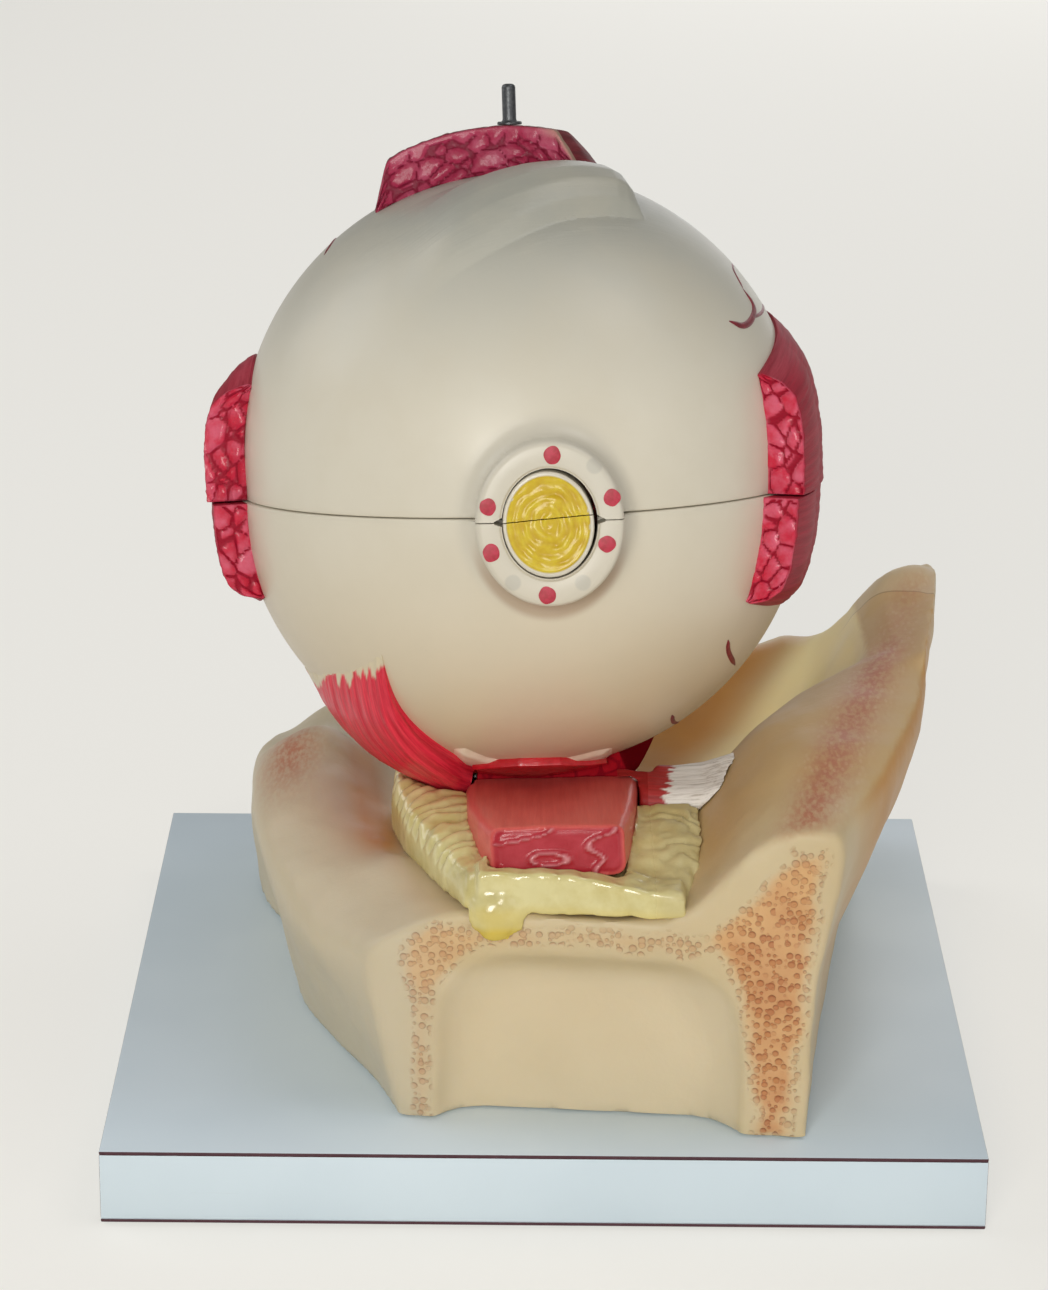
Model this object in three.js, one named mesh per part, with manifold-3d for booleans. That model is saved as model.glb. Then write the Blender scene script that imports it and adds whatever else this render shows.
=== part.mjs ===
// Anatomy model of the left human eye, five times life size, seated in a bony orbit on a laminated board.
// Millimetres, +Z up. The origin is the centre of the board's underside. -Y is the optic nerve side,
// +Y the cornea side and +X the side of the nose.
import * as THREE from "three";
import { mergeVertices } from "three/addons/utils/BufferGeometryUtils.js";
import Module from "manifold-3d";

const wasm = await Module();
wasm.setup();

// Clearances
const seatGap = 0.3;
const strapGap = 0.5;
const seamGap = 0.3;
const nestGap = 0.7;

// Board
const boardWidth = 180;
const boardHeight = 16;
const laminate = 0.8;
const screwPlaces = [[-18, -48], [42, -48], [8, 46]];
const screwShank = 2;
const screwHead = 4;
const screwHeadDepth = 3;
const screwBite = 20;

// Eyeball: where its centre lies, how it leans, and its two halves
const lowerRadius = 60.5;
const upperInset = 0.7;
const upperRadius = lowerRadius - upperInset;
const domeRise = 7.3;
const scleraWall = 5.2;
const eyeUndersideHeight = 68.85;
const eyeAcross = -5.4;
const eyeCentre = new THREE.Vector3(eyeAcross, 0, eyeUndersideHeight + lowerRadius);
const eyeTilt = 11.5;
const eyeRoll = 2.2;

// Cornea
const corneaInset = 32;
const corneaEdge = lowerRadius - corneaInset;
const corneaFlatter = 10.5;
const corneaCurve = corneaEdge + corneaFlatter;
const corneaWall = 2;
const corneaSkirt = 3;
const corneaLip = 2.4;

// Inner eye: choroid with retina, iris, vitreous body and lens
const innerRoll = 4;
const choroidWall = 4;
const irisBehindCornea = 8.77;
const corneaPlane = Math.sqrt(lowerRadius ** 2 - corneaEdge ** 2);
const irisPlane = corneaPlane - irisBehindCornea;
const irisThickness = 2.2;
const pupilRadius = 10;
const vitreousWall = 2;
const vitreousFront = irisPlane - 7;
const vitreousOpening = vitreousFront - 11.6;
const lensRadius = 22.5;
const lensEdge = 2.5;
const lensFrontCurve = 50;
const lensBackCurve = 30;
const lensToIris = 2;

// Optic nerve
const nerveAcross = 5.4;
const nerveUp = -0.5;
const sheathHalfWidth = 14.7;
const sheathHalfHeight = 16.5;
const sheathProud = 7.5;
const sheathEnd = lowerRadius + sheathProud;
const sheathBoreWidth = 9.9;
const sheathBoreHeight = 11.4;
const coreHalfWidth = 9;
const coreHalfHeight = 10.5;
const coreSunk = 1.2;
const coreEnd = sheathEnd - coreSunk;

// Pins
const crownPinRadius = 1.45;
const crownPinAcross = -0.5;
const crownPinShown = 7.4;
const crownPinDepth = 9;
const crownCollarRadius = 2.6;
const crownCollarHeight = 0.7;
const supportRadius = 3;
const supportShoulder = 6;
const supportShoulderHeight = 3;
const supportDepth = 14;
const supportReach = 3.6;
const dowelRadius = 1.2;
const dowelHalf = 4;
const dowelAngle = 45;

// Muscles
const superiorThickness = 9.8;
const inferiorThickness = 6;
const obliqueThickness = 6.5;
const tendonRidge = 7.2;
const stubBelowEye = 2.25;
const stubTop = -(lowerRadius + stubBelowEye);
const stubSlope = 0.04;
const stubHeight = 10.5;
const stubRound = 2.2;
const stubStart = -59.7;
const stubEnd = -12.6;
const inferiorCut = -12.1;

// Orbit
const rearFaceSlant = -0.106;
const slantEnds = 40;
const sinusDepth = 7;
const boneSegments = 2;
const fatAboveUnderside = 2.05;
const fatTop = eyeUndersideHeight + fatAboveUnderside;
const fatBottom = 50;
const fatRound = 5;

const material = (color, roughness, metalness = 0, opacity = 1) =>
  new THREE.MeshStandardMaterial({ color, roughness, metalness, opacity, transparent: opacity < 1 });

const whiteLaminate = material("#dbe3ec", 0.3);
const chipboard = material("#a98a63", 0.9);
const steel = material("#8d8f92", 0.35, 0.9);
const bone = material("#e0cfa6", 0.45);
const fat = material("#d9cf8a", 0.3);
const muscle = material("#b5122f", 0.25);
const paleMuscle = material("#a3263a", 0.3);
const tendon = material("#e6e4dd", 0.4);
const sclera = material("#ded9c6", 0.4);
const choroid = material("#7a3322", 0.5);
const irisBlue = material("#5f7f95", 0.35);
const nerveYellow = material("#e2c21c", 0.35);
const clear = material("#eef6f8", 0.05, 0, 0.35);

const degrees = THREE.MathUtils.degToRad;

// A closed triangle mesh as a solid, turned right side out
function solidFrom(positions, triangles) {
  const a = new THREE.Vector3();
  const b = new THREE.Vector3();
  const c = new THREE.Vector3();
  let volume = 0;
  for (let i = 0; i < triangles.length; i += 3) {
    a.fromArray(positions, 3 * triangles[i]);
    b.fromArray(positions, 3 * triangles[i + 1]);
    c.fromArray(positions, 3 * triangles[i + 2]);
    volume += a.dot(b.cross(c));
  }
  const triVerts = new Uint32Array(triangles);
  if (volume < 0) triVerts.reverse();
  return new wasm.Manifold(
    new wasm.Mesh({ numProp: 3, vertProperties: new Float32Array(positions), triVerts }),
  );
}

function solidOf(geometry) {
  geometry.deleteAttribute("normal");
  geometry.deleteAttribute("uv");
  const merged = mergeVertices(geometry, 1e-4);
  const place = merged.attributes.position.array;
  const corners = [];
  for (let i = 0; i < merged.index.count; i += 3) {
    const [p, q, r] = [0, 1, 2].map((k) => merged.index.getX(i + k));
    if (p !== q && q !== r && r !== p) corners.push(p, q, r);
  }
  return solidFrom(Array.from(place), corners);
}

function addPiece(parent, name, solid, finish) {
  const made = solid.getMesh();
  const geometry = new THREE.BufferGeometry();
  geometry.setAttribute("position", new THREE.BufferAttribute(made.vertProperties, 3));
  geometry.setIndex(new THREE.BufferAttribute(made.triVerts, 1));
  geometry.computeVertexNormals();
  const mesh = new THREE.Mesh(geometry, finish);
  mesh.name = name;
  parent.add(mesh);
  return mesh;
}

const moved = (solid, matrix) => solid.transform(matrix.elements);

// Turned forms: profiles are [radius, place along the axis]
function turnedUpright(profile, segments) {
  const points = profile.map(([r, h]) => new THREE.Vector2(r, h));
  return solidOf(new THREE.LatheGeometry(points, segments).rotateX(Math.PI / 2));
}

function turnedForward(profile, segments) {
  const points = profile.map(([r, h]) => new THREE.Vector2(r, h));
  return solidOf(new THREE.LatheGeometry(points, segments));
}

// Points of an arc about a centre on the axis, from one angle to another, in degrees from the axis
function axisArc(centre, radius, from, to, steps) {
  return Array.from({ length: steps + 1 }, (_, i) => {
    const angle = degrees(from + ((to - from) * i) / steps);
    return [Math.abs(angle) < 1e-9 ? 0 : radius * Math.sin(angle), centre + radius * Math.cos(angle)];
  });
}

// A solid between two grids of points with the same rows and columns
function slab(below, above) {
  const rows = below.length;
  const cols = below[0].length;
  const count = rows * cols;
  const positions = [...below.flat(), ...above.flat()].flatMap((p) => p.toArray());
  const at = (i, j) => i * cols + j;
  const triangles = [];
  const quad = (p, q, r, s) => triangles.push(p, q, r, p, r, s);
  for (let i = 0; i < rows - 1; i++) {
    for (let j = 0; j < cols - 1; j++) {
      quad(at(i, j), at(i, j + 1), at(i + 1, j + 1), at(i + 1, j));
      quad(
        count + at(i, j),
        count + at(i + 1, j),
        count + at(i + 1, j + 1),
        count + at(i, j + 1),
      );
    }
  }
  const rim = [];
  for (let j = 0; j < cols - 1; j++) rim.push(at(0, j));
  for (let i = 0; i < rows - 1; i++) rim.push(at(i, cols - 1));
  for (let j = cols - 1; j > 0; j--) rim.push(at(rows - 1, j));
  for (let i = rows - 1; i > 0; i--) rim.push(at(i, 0));
  rim.forEach((p, k) => {
    const q = rim[(k + 1) % rim.length];
    quad(q, p, count + p, count + q);
  });
  return solidFrom(positions, triangles);
}

// A solid through a row of rings with the same number of points, with flat ends
function loft(rings, flatten) {
  const n = rings[0].length;
  const positions = rings.flat().flatMap((p) => p.toArray());
  const triangles = [];
  for (let i = 0; i < rings.length - 1; i++) {
    for (let j = 0; j < n; j++) {
      const k = (j + 1) % n;
      const [a, b, c, d] = [i * n + j, i * n + k, (i + 1) * n + k, (i + 1) * n + j];
      triangles.push(a, b, c, a, c, d);
    }
  }
  [0, rings.length - 1].forEach((end, side) => {
    const outline = rings[end].map((p) => flatten(p));
    THREE.ShapeUtils.triangulateShape(outline, []).forEach(([a, b, c]) => {
      const face = [a, b, c].map((k) => end * n + k);
      triangles.push(...orient(face, rings[end], flatten, side));
    });
  });
  return solidFrom(positions, triangles);
}

// End faces wind against the ring at the first end and along it at the last
function orient(face, ring, flatten, side) {
  const n = ring.length;
  const [a, b, c] = face.map((k) => flatten(ring[k % n]));
  const turn = (b.x - a.x) * (c.y - a.y) - (b.y - a.y) * (c.x - a.x);
  const along = THREE.ShapeUtils.area(ring.map((p) => flatten(p)));
  const sameWay = turn > 0 === along > 0;
  return sameWay === (side === 1) ? face : [face[0], face[2], face[1]];
}

const acrossY = (p) => new THREE.Vector2(p.x, p.z);

function ellipseRing(centreX, centreZ, halfWidth, halfHeight, y, points) {
  return Array.from({ length: points }, (_, i) => {
    const turn = (2 * Math.PI * i) / points;
    return new THREE.Vector3(
      centreX + halfWidth * Math.cos(turn),
      y,
      centreZ + halfHeight * Math.sin(turn),
    );
  });
}

// A rounded rectangle in a plane across Y
function roundedRing(left, right, bottom, top, radius, y, perCorner = 3) {
  const corners = [
    [right - radius, top - radius, 0],
    [left + radius, top - radius, 90],
    [left + radius, bottom + radius, 180],
    [right - radius, bottom + radius, 270],
  ];
  return corners.flatMap(([x, z, start]) =>
    Array.from({ length: perCorner + 1 }, (_, i) => {
      const turn = degrees(start + (90 * i) / perCorner);
      return new THREE.Vector3(x + radius * Math.cos(turn), y, z + radius * Math.sin(turn));
    }),
  );
}

// The outer surface of an eyeball half: a dome whose centre may stand above the seam
const lowerShell = { radius: lowerRadius, rise: 0 };
const upperShell = { radius: upperRadius, rise: domeRise };

function shellPoint(shell, point, proud) {
  const centre = new THREE.Vector3(0, 0, THREE.MathUtils.clamp(point.z, 0, shell.rise));
  const normal = point.clone().sub(centre).normalize();
  return centre.addScaledVector(normal, shell.radius + proud);
}

function sampled(values, share) {
  const place = share * (values.length - 1);
  const i = Math.min(Math.floor(place), values.length - 2);
  return THREE.MathUtils.lerp(values[i], values[i + 1], place - i);
}

const curveOf = (points) =>
  new THREE.CatmullRomCurve3(points.map((p) => new THREE.Vector3(...p)), false, "centripetal");

// A muscle strap or tendon lying on an eyeball half between two edges. Its thickness runs along it,
// and its outline across it is a list of shares of that thickness.
function strap(shape) {
  const { shell, first, second, thickness, across, steps } = shape;
  const { upright = false, from = strapGap, grow = 0 } = shape;
  const firstEdge = curveOf(first);
  const secondEdge = curveOf(second);
  const below = [];
  const above = [];
  for (let i = 0; i <= steps; i++) {
    const a = firstEdge.getPoint(i / steps);
    const b = secondEdge.getPoint(i / steps);
    const wider = b.clone().sub(a).setLength(grow);
    const longer = firstEdge.getTangent(i / steps).setLength(i === 0 ? -grow : i === steps ? grow : 0);
    a.sub(wider).add(longer);
    b.add(wider).add(longer);
    const thick = sampled(thickness, i / steps);
    const start = from - grow;
    const line = across.map(([share]) => a.clone().lerp(b, share));
    const row = line.map((p) => shellPoint(shell, p, start));
    below.push(row);
    above.push(
      across.map(([, height], j) => {
        const rise = thick * height + 2 * grow;
        return upright
          ? row[j].clone().add(new THREE.Vector3(0, 0, rise))
          : shellPoint(shell, line[j], start + rise);
      }),
    );
  }
  return slab(below, above);
}

const object = new THREE.Group();
const eye = new THREE.Group();
eye.position.copy(eyeCentre);
eye.rotation.set(-degrees(eyeTilt), -degrees(eyeRoll), 0);
object.add(eye);
const inner = new THREE.Group();
inner.rotation.y = -degrees(innerRoll);
eye.add(inner);
object.updateMatrixWorld(true);
const eyeToBoard = eye.matrixWorld;

// Board: a chipboard core under laminate on all six sides, and three screws up into the orbit
function addBoard() {
  const half = boardWidth / 2;
  const box = (x0, x1, y0, y1, z0, z1) => {
    const geometry = new THREE.BoxGeometry(x1 - x0, y1 - y0, z1 - z0);
    return solidOf(geometry.translate((x0 + x1) / 2, (y0 + y1) / 2, (z0 + z1) / 2));
  };
  const inside = half - laminate;
  const low = laminate;
  const high = boardHeight - laminate;
  const holes = screwPlaces.map((place) => screw(place, seatGap));
  const drilled = (solid) => holes.reduce((left, hole) => left.subtract(hole), solid);
  addPiece(object, "board_core", drilled(box(-inside, inside, -inside, inside, low, high)), chipboard);
  const sheets = [
    ["top_laminate", -half, half, -half, half, high, boardHeight],
    ["bottom_laminate", -half, half, -half, half, 0, low],
    ["rear_edge_strip", -half, half, -half, -inside, low, high],
    ["front_edge_strip", -half, half, inside, half, low, high],
    ["left_edge_strip", -half, -inside, -inside, inside, low, high],
    ["right_edge_strip", inside, half, -inside, inside, low, high],
  ];
  sheets.forEach(([name, ...sides]) => addPiece(object, name, drilled(box(...sides)), whiteLaminate));
  screwPlaces.forEach((place, i) => addPiece(object, `orbit_screw_${i + 1}`, screw(place, 0), steel));
}

function screw([x, y], grow) {
  const tip = boardHeight + screwBite;
  const start = grow > 0 ? -1 : 0.4;
  const profile = [
    [0, start],
    [screwHead + grow, start],
    [screwHead + grow, 0.8],
    [screwShank + grow, screwHeadDepth + grow],
    [screwShank + grow, tip - screwHead],
    [grow, tip + grow],
    [0, tip + grow],
  ];
  return turnedUpright(grow > 0 ? profile : profile.slice(0, -1), 14).translate([x, y, 0]);
}

// Pins
const shoulderTop = -(lowerRadius + strapGap + inferiorThickness + seatGap);
const supportEnd = -(lowerRadius - supportReach);

function supportPin(grow) {
  const bottom = shoulderTop - supportShoulderHeight - supportDepth;
  return turnedUpright(
    [
      [0, bottom - grow],
      [supportRadius + grow, bottom - grow],
      [supportRadius + grow, shoulderTop - supportShoulderHeight - grow],
      [supportShoulder + grow, shoulderTop - supportShoulderHeight - grow],
      [supportShoulder + grow, shoulderTop + grow],
      [supportRadius + grow, shoulderTop + grow],
      [supportRadius + grow, supportEnd - 1],
      [supportRadius - 1 + grow, supportEnd + grow],
      [0, supportEnd + grow],
    ],
    16,
  );
}

const crownSeat = upperRadius + domeRise + superiorThickness + seatGap;

function crownPin(grow) {
  const tip = crownSeat + seatGap + crownPinShown;
  const collar = crownSeat + seatGap;
  return turnedUpright(
    [
      [0, crownSeat - crownPinDepth - grow],
      [crownPinRadius + grow, crownSeat - crownPinDepth - grow],
      [crownPinRadius + grow, collar - grow],
      [crownCollarRadius + grow, collar - grow],
      [crownCollarRadius + grow, collar + crownCollarHeight],
      [crownPinRadius, collar + crownCollarHeight + 0.2],
      [crownPinRadius, tip - 0.6],
      [crownPinRadius - 0.5, tip],
      [0, tip],
    ],
    14,
  ).translate([crownPinAcross, 0, 0]);
}

// Sclera halves
function shellHalf(shell, upper) {
  const cavity = lowerRadius - scleraWall;
  const cut = seamGap / 2;
  const rimAngle = 90 - THREE.MathUtils.radToDeg(Math.asin(cut / cavity));
  const outer = axisArc(shell.rise, shell.radius, 0, 90, 10);
  if (upper) outer.push([shell.radius, cut]);
  else outer[outer.length - 1] = [shell.radius * Math.cos(Math.asin(cut / shell.radius)), cut];
  const profile = [...outer, ...axisArc(0, cavity, rimAngle, 0, 8)];
  const sign = upper ? 1 : -1;
  return turnedUpright(profile.map(([r, h]) => [r, sign * h]), 36);
}

function nerveSheath() {
  const flare = [
    [lowerRadius - 3.9, sheathHalfWidth + 3.5, sheathHalfHeight + 3.5],
    [lowerRadius - 1, sheathHalfWidth + 2.5, sheathHalfHeight + 2.5],
    [lowerRadius + 1.5, sheathHalfWidth + 0.7, sheathHalfHeight + 0.7],
    [lowerRadius + 3.5, sheathHalfWidth, sheathHalfHeight],
    [sheathEnd - 1, sheathHalfWidth, sheathHalfHeight],
    [sheathEnd, sheathHalfWidth - 1, sheathHalfHeight - 1],
  ];
  return loft(flare.map(([back, w, h]) => ellipseRing(nerveAcross, nerveUp, w, h, -back, 20)), acrossY);
}

const nerveBore = () =>
  loft(
    [sheathEnd + 2, lowerRadius - 14.5].map((back) =>
      ellipseRing(nerveAcross, nerveUp, sheathBoreWidth, sheathBoreHeight, -back, 20),
    ),
    acrossY,
  );

const corneaSeat = corneaPlane - corneaSkirt;

function corneaOpening() {
  const clearEdge = corneaEdge + seatGap;
  const lip = corneaEdge - corneaLip;
  const profile = [
    [0, irisPlane - 6],
    [lip, irisPlane - 6],
    [lip, corneaSeat - seatGap],
    [clearEdge, corneaSeat - seatGap],
    [clearEdge, lowerRadius + 12],
    [0, lowerRadius + 12],
  ];
  return turnedForward(profile, 32);
}

function dowel(side, grow) {
  const middle = (lowerRadius - scleraWall + upperRadius) / 2;
  const turn = degrees(dowelAngle);
  const half = dowelHalf + grow;
  const profile = [[0, -half], [dowelRadius + grow, -half], [dowelRadius + grow, half], [0, half]];
  return turnedUpright(profile, 12).translate([side * middle * Math.cos(turn), middle * Math.sin(turn), 0]);
}

// The superior oblique tendon swells out of the upper half as a ridge under the superior rectus
const obliqueRidge = () =>
  strap({
    shell: upperShell,
    first: [[27.3, -20.8, 56.1], [11, -30.8, 57.2], [-5.1, -40.1, 51.2], [-24, -45, 38.5]],
    second: [[19.6, -6, 63.5], [10, -9, 65.6], [-4, -12, 65.7], [-25, -18, 58.6]],
    thickness: [0.9, 1, 0.98, 0.82, 0.6, 0.34, 0.1].map((share) => share * tendonRidge),
    across: [[0, 0.01], [0.14, 0.55], [0.32, 0.95], [0.52, 1], [0.78, 0.82], [1, 0.02]],
    steps: 12,
    from: -2,
  });

const superiorRectus = (grow) =>
  strap({
    shell: upperShell,
    first: [[-29.2, -8, 58.9], [-29.6, 2, 59.2], [-29.6, 14, 56.6], [-28, 25, 52]],
    second: [[14.4, -8, 64.8], [15.4, 2, 65], [16, 14, 63.1], [15, 25, 59]],
    thickness: [superiorThickness, superiorThickness * 0.96, 7, 4, 1.2],
    across: [[0, 0.05], [0.07, 0.95], [0.15, 1.01], [0.4, 1.02], [0.65, 1], [0.87, 0.95], [1, 0.05]],
    steps: 7,
    upright: true,
    from: 0,
    grow,
  });

// Side straps are cut by the seam: each half lies between the seam and an edge that fans forward
const sideStrap = (shell, side, seamPath, edgePath, thickness) =>
  strap({
    shell,
    first: seamPath.map(([x, y]) => [side * x, y, Math.sign(edgePath[0][2]) * seamGap * 0.6]),
    second: edgePath.map(([x, y, z]) => [side * x, y, z]),
    thickness,
    across: [[0, 1], [0.3, 1], [0.58, 0.99], [0.76, 0.9], [0.9, 0.55], [1, 0.05]],
    steps: 8,
  });

const medialSeam = [[50, -32], [58.5, -12], [59.5, 10], [47, 37]];
const lateralSeam = [[57.7, -15.5], [59.8, -2], [58, 15], [50, 32]];

function addUpperEye() {
  const body = shellHalf(upperShell, true)
    .add(nerveSheath().trimByPlane([0, 0, 1], seamGap / 2))
    .add(obliqueRidge())
    .subtract(nerveBore())
    .subtract(corneaOpening())
    .subtract(dowel(-1, seatGap))
    .subtract(dowel(1, seatGap))
    .subtract(superiorRectus(seatGap))
    .subtract(crownPin(seatGap));
  addPiece(eye, "sclera_upper", body, sclera);
  addPiece(eye, "superior_rectus", superiorRectus(0).subtract(crownPin(seatGap)), muscle);
  addPiece(eye, "crown_pin", crownPin(0), steel);
  const lateralEdge = [[56.2, -12, 24], [55, -4, 28.8], [52.8, 12, 27], [47, 29, 23]];
  const medialEdge = [[49, -30, 24.5], [54, -9, 31.5], [51.5, 8, 34.5], [42.5, 33, 31]];
  addPiece(
    eye,
    "lateral_rectus_upper",
    sideStrap(upperShell, -1, lateralSeam, lateralEdge, [8.2, 6, 4, 2.2, 0.8]),
    muscle,
  );
  addPiece(
    eye,
    "medial_rectus_upper",
    sideStrap(upperShell, 1, medialSeam, medialEdge, [8, 4.5, 3.2, 2, 0.8]),
    muscle,
  );
}

const inferiorRectus = (grow) =>
  strap({
    shell: lowerShell,
    first: [[-11.1, inferiorCut, -58.2], [-11.1, 4, -59.3], [-12, 17, -56.8], [-14, 31, -50]],
    second: [[23.7, inferiorCut, -54.3], [26, 4, -54.5], [28, 17, -50.8], [29, 31, -43]],
    thickness: [inferiorThickness, inferiorThickness, 5, 2.6, 0.8],
    across: [[0, 0.7], [0.06, 0.95], [0.35, 1], [0.65, 1], [0.94, 0.95], [1, 0.7]],
    steps: 7,
    grow,
  });

const inferiorOblique = (grow) =>
  strap({
    shell: lowerShell,
    first: [[-29.5, -44, -29], [-26.2, -35, -42], [-16.6, -23.4, -53.3], [-11.9, -14.5, -57.5]],
    second: [[-47.6, -8.6, -36.4], [-40, 5, -45], [-27, 12, -52.8], [-11.9, 15, -57.4]],
    thickness: [0.5, 3.4, 5.4, 6.2, obliqueThickness],
    across: [[0, 0.55], [0.08, 0.85], [0.3, 1], [0.5, 1], [0.7, 1], [0.92, 0.8], [1, 0.4]],
    steps: 8,
    grow,
  });

function addLowerEye() {
  const body = shellHalf(lowerShell, false)
    .add(nerveSheath().trimByPlane([0, 0, -1], seamGap / 2))
    .subtract(nerveBore())
    .subtract(corneaOpening())
    .subtract(dowel(-1, seatGap))
    .subtract(dowel(1, seatGap))
    .subtract(supportPin(seatGap));
  addPiece(eye, "sclera_lower", body, sclera);
  addPiece(eye, "seam_dowel_lateral", dowel(-1, 0), steel);
  addPiece(eye, "seam_dowel_medial", dowel(1, 0), steel);
  addPiece(eye, "inferior_rectus", inferiorRectus(0).subtract(supportPin(seatGap)), muscle);
  addPiece(eye, "inferior_oblique", inferiorOblique(0), muscle);
  const lateralEdge = [[55.5, -15, -20.8], [56, -5, -22.2], [53, 12, -22], [47, 29, -20]];
  const medialEdge = [[45.3, -33.7, -22], [53.6, -12, -25], [54, 8, -25], [43, 34, -24]];
  const lateralStart = [[57.2, -18.5], ...lateralSeam.slice(1)];
  const medialStart = [[49.3, -35], ...medialSeam.slice(1)];
  addPiece(
    eye,
    "lateral_rectus_lower",
    sideStrap(lowerShell, -1, lateralStart, lateralEdge, [6.8, 5, 3.4, 1.9, 0.7]),
    muscle,
  );
  addPiece(
    eye,
    "medial_rectus_lower",
    sideStrap(lowerShell, 1, medialStart, medialEdge, [7.8, 3.2, 1.9, 1.3, 0.7]),
    muscle,
  );
}

// Cornea: a clear dome on a short skirt that sits in the opening between the two halves
function addCornea() {
  const half = (curve, edge) => THREE.MathUtils.radToDeg(Math.asin(edge / curve));
  const innerEdge = corneaEdge - corneaWall;
  const centre = corneaPlane - Math.sqrt(corneaCurve ** 2 - corneaEdge ** 2);
  const innerCurve = corneaCurve - corneaWall;
  const profile = [
    ...axisArc(centre, corneaCurve, 0, half(corneaCurve, corneaEdge), 5),
    [corneaEdge, corneaSeat],
    [innerEdge, corneaSeat],
    ...axisArc(centre, innerCurve, half(innerCurve, innerEdge), 0, 5),
  ];
  addPiece(eye, "cornea", turnedForward(profile, 32), clear);
}

// Choroid halves carry the retina inside, the iris in front and the nerve's core behind
const choroidOuter = lowerRadius - scleraWall - nestGap;
const choroidInner = choroidOuter - choroidWall;

function choroidHalf(sign) {
  const cut = seamGap / 2;
  const edge = (radius) => 90 - THREE.MathUtils.radToDeg(Math.asin(cut / radius));
  const profile = [
    ...axisArc(0, choroidOuter, 0, edge(choroidOuter), 7),
    ...axisArc(0, choroidInner, edge(choroidInner), 0, 7),
  ];
  return turnedUpright(profile.map(([r, h]) => [r, sign * h]), 28)
    .trimByPlane([0, -1, 0], -irisPlane);
}

function irisRing() {
  const back = irisPlane + seatGap;
  const front = back + irisThickness;
  const cavity = lowerRadius - scleraWall;
  const edge = Math.sqrt(cavity ** 2 - front ** 2) - nestGap;
  const profile = [
    [pupilRadius, back + 0.5],
    [pupilRadius + 0.6, back],
    [edge - 0.4, back],
    [edge, back + 0.5],
    [edge - 0.5, front - 0.8],
    [(edge + pupilRadius) / 2, front],
    [pupilRadius + 0.8, front - 0.4],
    [pupilRadius, front - 1],
    [pupilRadius, back + 0.5],
  ];
  return turnedForward(profile, 32);
}

const nerveCentre = new THREE.Vector3(nerveAcross, 0, nerveUp).applyAxisAngle(
  new THREE.Vector3(0, 1, 0),
  degrees(innerRoll),
);

function nerveCore() {
  const start = Math.sqrt(choroidOuter ** 2 - (coreHalfHeight + 8) ** 2) + 0.9;
  const steps = [
    [start, 0, 0],
    [coreEnd - 0.8, 0, 0],
    [coreEnd, -0.8, -0.8],
  ];
  const rings = steps.map(([back, w, h]) =>
    ellipseRing(nerveCentre.x, nerveCentre.z, coreHalfWidth + w, coreHalfHeight + h, -back, 20),
  );
  const ball = turnedUpright(axisArc(0, choroidOuter + seatGap, 0, 180, 14), 28);
  return loft(rings, acrossY).subtract(ball);
}

function addInnerEye() {
  const cut = seamGap / 2;
  [["upper", 1], ["lower", -1]].forEach(([which, sign]) => {
    addPiece(inner, `choroid_${which}`, choroidHalf(sign), choroid);
    addPiece(inner, `iris_${which}`, irisRing().trimByPlane([0, 0, sign], cut), irisBlue);
    addPiece(inner, `nerve_core_${which}`, nerveCore().trimByPlane([0, 0, sign], cut), nerveYellow);
  });
}

// Vitreous body: a hollow clear ball in two parts, with a dish in front for the lens
const vitreousOuter = choroidInner - nestGap - seatGap;
const lensFrontApex = irisPlane - lensToIris + 0.3;
const lensFrontSag = lensFrontCurve - Math.sqrt(lensFrontCurve ** 2 - lensRadius ** 2);
const lensBackSag = lensBackCurve - Math.sqrt(lensBackCurve ** 2 - lensRadius ** 2);
const lensFrontEdge = lensFrontApex - lensFrontSag;
const lensBackEdge = lensFrontEdge - lensEdge;
const lensBackApex = lensBackEdge - lensBackSag;
const lensFrontAngle = THREE.MathUtils.radToDeg(Math.asin(lensRadius / lensFrontCurve));
const lensBackAngle = THREE.MathUtils.radToDeg(Math.asin(lensRadius / lensBackCurve));

function addVitreous() {
  const angleAt = (radius, place) => THREE.MathUtils.radToDeg(Math.acos(place / radius));
  const outer = vitreousOuter;
  const inside = vitreousOuter - vitreousWall;
  const shell = [
    ...axisArc(0, outer, 180, angleAt(outer, vitreousOpening), 8),
    ...axisArc(0, inside, angleAt(inside, vitreousOpening), 180, 8),
  ];
  addPiece(inner, "vitreous_shell", turnedForward(shell, 28), clear);
  const start = vitreousOpening + seatGap;
  const recess = lensRadius + seatGap;
  const recessCurve = lensBackCurve + seatGap;
  const dishCentre = lensBackApex + lensBackCurve;
  const recessAngle = 180 - THREE.MathUtils.radToDeg(Math.asin(recess / recessCurve));
  const outerCurve = recessCurve + vitreousWall;
  const outerAngle = 180 - THREE.MathUtils.radToDeg(Math.asin((recess + vitreousWall) / outerCurve));
  const dish = [
    ...axisArc(dishCentre, recessCurve, 180, recessAngle, 4),
    [recess, vitreousFront],
    ...axisArc(0, outer, angleAt(outer, vitreousFront), angleAt(outer, start), 2),
    ...axisArc(0, inside, angleAt(inside, start), angleAt(inside, vitreousFront - vitreousWall), 2),
    [recess + vitreousWall, vitreousFront - vitreousWall],
    ...axisArc(dishCentre, outerCurve, outerAngle, 180, 4),
  ];
  addPiece(inner, "vitreous_dish", turnedForward(dish, 28), clear);
  const lens = [
    ...axisArc(lensFrontApex - lensFrontCurve, lensFrontCurve, 0, lensFrontAngle, 4),
    ...axisArc(lensBackApex + lensBackCurve, lensBackCurve, 180 - lensBackAngle, 180, 4),
  ];
  addPiece(inner, "lens", turnedForward(lens, 28), clear);
}

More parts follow.
